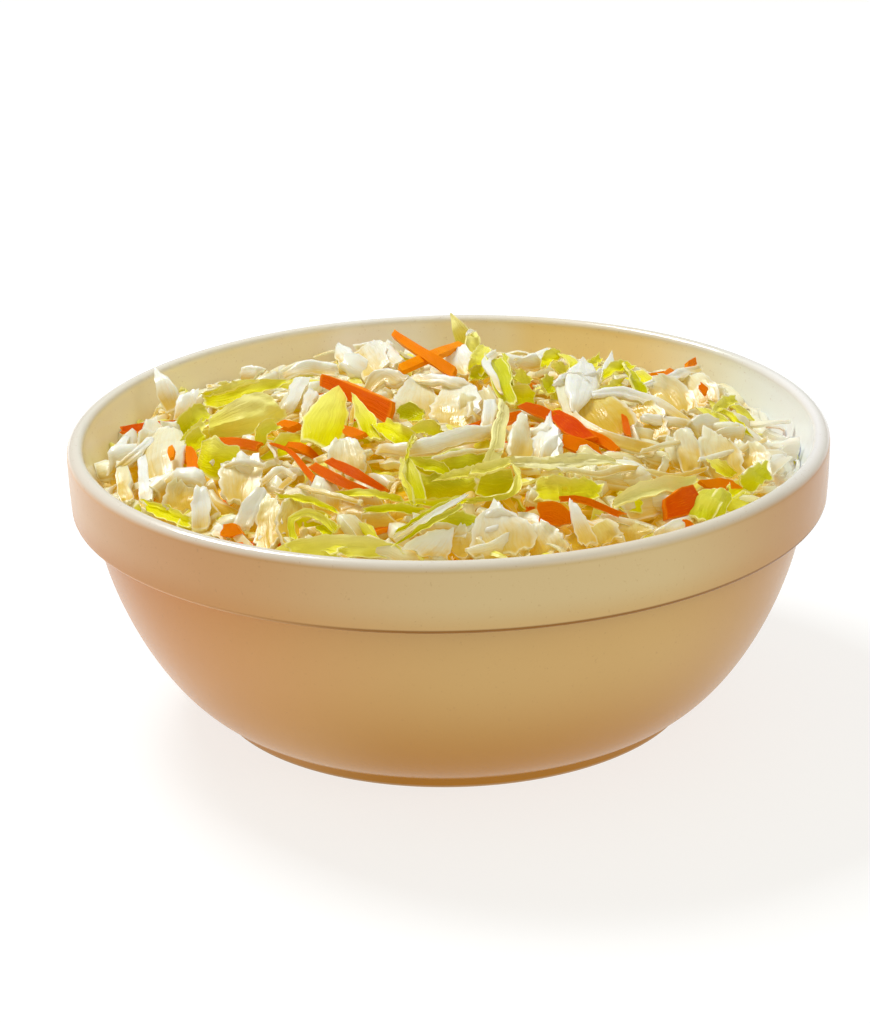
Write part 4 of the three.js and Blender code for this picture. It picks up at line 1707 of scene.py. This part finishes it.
leaf([(396, 543, 4.2), (430, 524, 5.6), (462, 504, 6)], [0.5, 1, 0.6], 58, tint=0.8, lanes=4, ridges=0)
leaf([(434, 522, 3), (458, 527, 3), (482, 530, 2.5)], [4, 5.6, 3.4], 56, tint=0.9)
leaf([(288, 550, 1.6), (340, 546, 2.6), (404, 552, 1.6)], [2, 4.2, 3.8, 1.6], 60, tint=0.2, cup=0.4)
leaf([(398, 417, 4.2), (410, 413, 4.6), (424, 419, 4)], [2, 3.4, 2.2], 56, tint=1)
leaf([(278, 496, 4), (306, 500, 4), (338, 512, 3)], [0.9, 1.4, 0.8], 50, tint=0.45)
leaf([(338, 494, 4), (368, 494, 4.4), (402, 500, 3.6)], [0.8, 1.6, 1], 45, tint=0.4)
leaf([(366, 512, 3), (396, 508, 3.5), (424, 512, 3)], [1, 1.8, 1.1], 50, tint=0.7)
leaf(
    [(294, 540, 1.8), (291, 524, 3.2), (304, 514, 4), (322, 518, 3.6), (334, 532, 2)], [1, 1.4, 1.2, 1], 40,
    tint=0.35, steps=18,
)
leaf([(322, 522, 2.8), (334, 534, 2)], [2.6, 3.4], 50, tint=0.7)
leaf(
    [(489, 470, 3.8), (498, 440, 5.4), (505, 403, 6.6)], [2.8, 2.4, 2.3], 80, 8,
    tint=-0.5, cup=0.3, jagged=0.08,
)
leaf(
    [(510, 463, 4.6), (556, 463, 5), (596, 459, 5.2), (618, 462, 4.5)], [1.6, 2.6, 2.8, 1.2], 42,
    tint=-0.8, ridges=0.2,
)
leaf([(536, 492, 3.5), (562, 490, 4.4), (600, 490, 3.5)], [3.6, 5.2, 3], 50, tint=0.4)
# along the back
leaf(
    [(470, 356, 2.4), (467, 344, 4.6), (459, 328, 7.8), (449, 313, 10.6)], [4.6, 4, 2.4, 0.3], 70, -20,
    tint=0.1, cup=0.5, ragged=0.1, jagged=0.03, wave=0, ridges=0.06, crumple=0.05,
)
leaf(
    [(468, 352, 4), (472, 342, 5.4), (471, 331, 7)], [3.2, 3, 0.8], 66, 14,
    tint=0.0, ragged=0.1, jagged=0.05, ridges=0.06, crumple=0.05,
)
leaf(
    [(474, 374, 3), (480, 360, 5), (485, 345, 6.4)], [3, 4.2, 3, 0.8], 66,
    tint=0.5, ridges=0.05, ragged=0.1, jagged=0.05,
)
leaf([(470, 376, 3), (486, 372, 3)], [2, 3.2, 2], 60, tint=0.8)
leaf(
    [(509, 404, 3.4), (502, 384, 5), (494, 357, 6.4)], [2.6, 4.4, 3.6], 86, 6,
    tint=1, cup=0.6, jagged=0.08, crumple=0.06,
)
leaf([(504, 353, 6.4), (509, 372, 5), (514, 398, 3.4)], [0.6, 1.7, 1.4], 76, -20, tint=0.85)
leaf([(514, 378, 4.6), (528, 376, 4.6)], [2.6, 3, 2.2], 60, tint=0.3)
leaf([(513, 396, 3.6), (524, 395, 4), (534, 398, 3)], [3.6, 4, 2.8], 62, tint=0.6, jagged=0.1, ragged=0.3)
leaf([(544, 368, 4.4), (550, 358, 5.8), (562, 353, 6.2)], [1.4, 2.8, 1.6], 54, tint=0.5, jagged=0.2)
leaf([(560, 354, 6.2), (570, 361, 5.6), (572, 376, 4)], [1, 2.4, 1.6], 60, 25, tint=0.6, jagged=0.2)
leaf([(554, 370, 4), (566, 366, 4.6)], [2, 2.6, 1.6], 56, tint=0.2)
leaf([(543, 388, 3.4), (556, 380, 4)], [3, 3.6, 2], 58, tint=0.85)
leaf([(590, 366, 5), (600, 358, 5.5)], [1.8, 1.4], 60, tint=0.3)
leaf([(601, 377, 5), (612, 369, 6.2), (630, 365, 6)], [1.4, 3, 2.2], 55, -20, tint=0.6, ridges=0.15)
leaf(
    [(627, 366, 6.4), (635, 380, 5.4), (643, 397, 3.2)], [2, 4, 2.6], 74, 38,
    tint=0.95, jagged=0.35, ridges=0.15,
)
leaf([(606, 392, 3.5), (624, 384, 4)], [2.2, 3, 2], 55, tint=0.3)
# towards the right
leaf([(700, 408, 4), (726, 426, 3.6), (757, 442, 2.5)], [1, 2.2, 1.2], 45, tint=0.7)
leaf([(708, 404, 4.6), (732, 420, 4.2), (748, 436, 3.4)], [0.8, 1.2, 0.8], 45, tint=0.45)
leaf([(714, 412, 5), (726, 402, 5.5), (735, 400, 5)], [1.2, 2.4, 1.6], 60, tint=0.3)
leaf([(612, 505, 4), (646, 490, 5), (698, 480, 4)], [1.6, 3, 3, 1.2], 50, tint=-0.4)
leaf(
    [(698, 520, 2.4), (706, 503, 3.8), (714, 490, 3.6)], [4.6, 5, 3.6], 64, -14,
    tint=1, cup=-0.6, jagged=0.05,
)
leaf(
    [(712, 516, 2.2), (720, 502, 3.6), (727, 492, 3.4)], [3.6, 4, 2.6], 62, 30,
    tint=1, cup=-0.6, jagged=0.05,
)
leaf([(742, 486, 3), (756, 476, 4), (768, 470, 3.5)], [3.4, 3.8, 3], 60, 20, tint=0.85, jagged=0.05)
leaf([(712, 460, 4.6), (722, 468, 4.2), (734, 476, 3.4)], [1.2, 2.4, 1.6], 55, tint=0.4)
leaf([(616, 500, 3), (640, 508, 3)], [2.6, 3.4, 2], 50, tint=0.55)
leaf([(730, 494, 2.6), (744, 484, 3)], [2.6, 3.2, 2.2], 60, tint=0.5)

leaf_piece = green.make("cabbage_leaf")
scatter(
    leaf_piece,
    loose_shreds("leaf", 300, 12 * [leaf_cut]),
    spacing=9.0,
    lean=34,
    lift=(-1.6, 0.8),
    seed=5,
    material=leaf_finish(),
)


# ---- Carrot -----------------------------------------------------------------------------
# Raw carrot from the coarse grater: square sticks about two millimetres thick and broad
# flat flakes, with crisp edges. The shine of the wet dressing is painted on them as a paler
# highlight along their cut edges.
CARROT_LIGHT = rgb(253, 154, 2)
CARROT_RED = rgb(222, 72, 1)
CARROT_BLOTCH = rgb(240, 106, 1)
CARROT_FIBRE = rgb(253, 146, 4)
CARROT_SHADE = rgb(214, 62, 0)
CARROT_DEEP_SHADE = rgb(214, 84, 0)
CARROT_EDGE_AND_HIGHLIGHT = rgb(255, 168, 22)
CARROT_GLOW = rgb(255, 98, 0)


def carrot_finish():
    material, board, finish = new_material("carrot")
    place = board.node("ShaderNodeTexCoord")["Object"]
    along, across, tint, rise, buried = shred_marks(board)
    blotch = board.grain(place, 260, detail=3)
    streak = fibres(board, along, across, tint, rows=5, scale=2.2)
    body = board.mix(tint, CARROT_LIGHT, CARROT_RED)
    body = board.mix((0.3 + 0.2 * tint) * board.steps(blotch, 0.45, 0.7), body, CARROT_BLOTCH)
    body = board.mix(0.35 * board.steps(streak, 0.5, 0.75), body, CARROT_FIBRE)
    low = board.steps(rise + 0.5 * streak, 0.7, 0.1)
    body = board.mix((0.2 + 0.35 * tint) * low, body, CARROT_SHADE)
    # Painted shade where the carrot lies deep in the heap
    body = board.mix(0.5 * buried, body, CARROT_DEEP_SHADE)
    # Paler along the cut edges: a painted highlight of the wet shine
    rim = cut_edge(board, across, along, 0.2)
    colour = board.mix(0.45 * rim, body, CARROT_EDGE_AND_HIGHLIGHT)
    finish(
        {
            "Base Color": colour,
            "Roughness": 0.26 + 0.14 * blotch,
            "Specular IOR Level": 0.02,
            "Normal": board.bump(streak, 0.0005, strength=0.4),
            "Emission Color": glow(board, 0.03 + 0.06 * buried, CARROT_GLOW),
            "Emission Strength": 1.0,
        }
    )
    return material


def carrot_cut(dice, broad, thick):
    """The measures of one piece of carrot, within a least and a greatest breadth and thickness."""
    width = dice.uniform(*broad)
    return {
        "path": arch(dice.uniform(5, 13), dice.uniform(-0.6, 1.2), dice.uniform(-1, 1)),
        "widths": [width * dice.uniform(0.3, 0.9), width, width * dice.uniform(0.4, 1)],
        "thick": dice.uniform(*thick),
        "twist": (dice.uniform(-20, 0), dice.uniform(0, 20)),
        "ragged": 0.9,
        "jagged": 0.08,
        "edge": 0.97,
        "uneven": 0.06,
        "steps": 6,
        "lanes": 3,
    }


def stick_cut(dice):
    return carrot_cut(dice, broad=(1.5, 2.4), thick=(1.4, 2.0))


def flake_cut(dice):
    return carrot_cut(dice, broad=(2.6, 3.8), thick=(0.8, 1.1))


# The same for a listed carrot stick
CARROT_CUT = {
    "thick": 1.6,
    "ragged": 0.6,
    "jagged": 0.05,
    "edge": 0.97,
    "uneven": 0.05,
    "lanes": 4,
}
orange = Cuttings(3)


def carrot(spots, widths, *facing, **cut):
    """A stick or flake of carrot."""
    orange.lay_by_hand(spots, widths, *facing, **{**CARROT_CUT, **cut})


carrot([(394, 334, 9), (425, 354, 7), (455, 374, 4.5)], [1.5, 2.3, 2.1], 55, tint=0.3, thick=1.2)
carrot([(400, 370, 5), (430, 357, 5.6), (461, 345, 5.6)], [2, 2.3, 1.8], 25, tint=0.0, thick=1.2)
carrot([(322, 380, 6), (356, 394, 6), (392, 414, 5)], [2.2, 3.4, 4.2], 74, tint=0.8, thick=0.9)
carrot([(272, 444, 4.6), (290, 452, 4.8), (314, 480, 4.4)], [0.5, 0.9, 1.2], 55, tint=0.75, thick=0.7)
carrot([(313, 466, 5), (340, 481, 5), (372, 494, 4)], [1.5, 1.9, 1.2], 66, tint=0.75, thick=1)
carrot([(330, 461, 5.6), (356, 474, 5.4), (386, 491, 4)], [1.4, 1.9, 0.8], 66, tint=0.8, thick=1)
carrot([(122, 430, 4), (174, 424, 4)], [1.2, 1.8, 1.2], 50, tint=0.9, thick=1)
carrot([(213, 441, 4.4), (236, 443, 4.6), (260, 447, 4)], [0.8, 1.8, 1.6], 50, tint=0.6, thick=1)
carrot([(191, 450, 4), (194, 472, 2.5)], [1.4, 2.2, 2], 72, tint=0.4)
carrot(
    [(171, 447, 6.4), (172, 453, 6.2), (172, 459, 6)], [0.8, 1.5, 0.8], 62, -12,
    tint=0.0, thick=0.6, ragged=0.1,
)
carrot([(224, 531, 2.6), (241, 530, 2.6)], [2, 2.4, 1.6], 56, tint=0.15)
carrot([(282, 424, 3.4), (296, 428, 3.4)], [1.4, 1.6], 50, tint=0.3)
carrot([(345, 430, 4), (362, 436, 4)], [1.4, 2, 1.2], 50, tint=0.4, thick=1)
carrot([(462, 432, 3.6), (490, 424, 3.4), (520, 416, 3)], [1.2, 2, 1.6], 50, tint=0.6)
carrot([(522, 405, 4.4), (538, 411, 4.2), (556, 419, 3.8)], [1.4, 2.2, 1.8], 58, tint=0.75, thick=1.1)
carrot([(554, 414, 4.2), (570, 426, 4), (590, 440, 3.4)], [2.2, 3.4, 2.4], 60, tint=1.0, thick=1.2)
carrot([(584, 432, 3.6), (604, 442, 3.2), (618, 452, 2.6)], [1.4, 2, 1.4], 52, tint=0.45, thick=1)
carrot([(562, 440, 3), (582, 447, 2.8), (600, 452, 2.4)], [2, 2.8, 2], 50, tint=0.4, thick=1.1)
carrot([(664, 376, 5), (672, 372, 5)], [1.2, 1.4], 50, tint=0.3, thick=1)
carrot([(686, 366, 6), (695, 362, 6.5)], [1, 1.4], 60, tint=0.4, thick=1)
carrot([(700, 386, 5.6), (706, 392, 5)], [1.2, 1.4], 60, tint=0.5, thick=0.8)
carrot([(540, 512, 4), (553, 513, 4.4), (571, 522, 3.6)], [3.2, 4, 2.2], 66, tint=0.45, thick=1.3)
carrot([(560, 499, 5.4), (582, 500, 5.6), (622, 515, 4.6)], [0.8, 1.2, 1], 60, tint=0.55, thick=0.9)
carrot([(664, 510, 3.2), (680, 504, 3.8), (697, 496, 3.4)], [3.4, 5, 4.2], 66, tint=0.85, thick=1.2)
carrot([(702, 484, 3.6), (736, 485, 3)], [1.2, 2.2, 1.4], 52, tint=0.2, thick=1)
carrot([(663, 530, 1.8), (688, 523, 2)], [1, 1.6, 1.2], 55, tint=0.5)
carrot([(624, 416, 4.6), (628, 436, 3)], [0.9, 1.3, 1.2], 70, tint=0.7, thick=0.9)

carrot_piece = orange.make("carrot")
scatter(
    carrot_piece,
    loose_shreds("carrot", 400, 3 * [flake_cut, stick_cut, stick_cut]),
    spacing=17.0,
    lean=30,
    lift=(-1.8, 0.5),
    seed=8,
    material=carrot_finish(),
    crisp=30,
)


# ---- Depth in the heap ------------------------------------------------------------------
# Light soaks down through wet cabbage and turns golden on the way. Each place on a shred is
# marked with how far it lies below the tops around it, which its finish reads as "buried"
# and paints as golden shade.
DEPTH_CELL = 0.6
DEPTH_WINDOW = 4  # cells to each side that the tops are evened out over
FULLY_BURIED = 2.6


def mark_depth(pieces):
    """Finds the tops of all the pieces cell by cell, evens them out and marks what is below."""
    line = np.arange(-RIM_RADIUS, RIM_RADIUS, DEPTH_CELL)
    tops = heap_height(*np.meshgrid(line, line, indexing="ij")) - MASS_DEPTH
    cells = {}
    for piece in pieces:
        place = places(piece)
        cell = ((place[:, :2] + RIM_RADIUS) / DEPTH_CELL).astype(int).clip(0, len(line) - 1)
        cells[piece] = (cell[:, 0], cell[:, 1])
        np.maximum.at(tops, cells[piece], place[:, 2])
    for axis in (0, 1, 0, 1):
        shifts = range(-DEPTH_WINDOW, DEPTH_WINDOW + 1)
        tops = sum(np.roll(tops, shift, axis) for shift in shifts) / len(shifts)
    for piece in pieces:
        below = (tops[cells[piece]] - places(piece)[:, 2]) / FULLY_BURIED
        marks = piece.data.attributes.new("buried", "FLOAT", "POINT")
        marks.data.foreach_set("value", below.clip(0, 1))


mark_depth([white_piece, thread_piece, leaf_piece, carrot_piece])

bpy.data.objects.remove(bed)
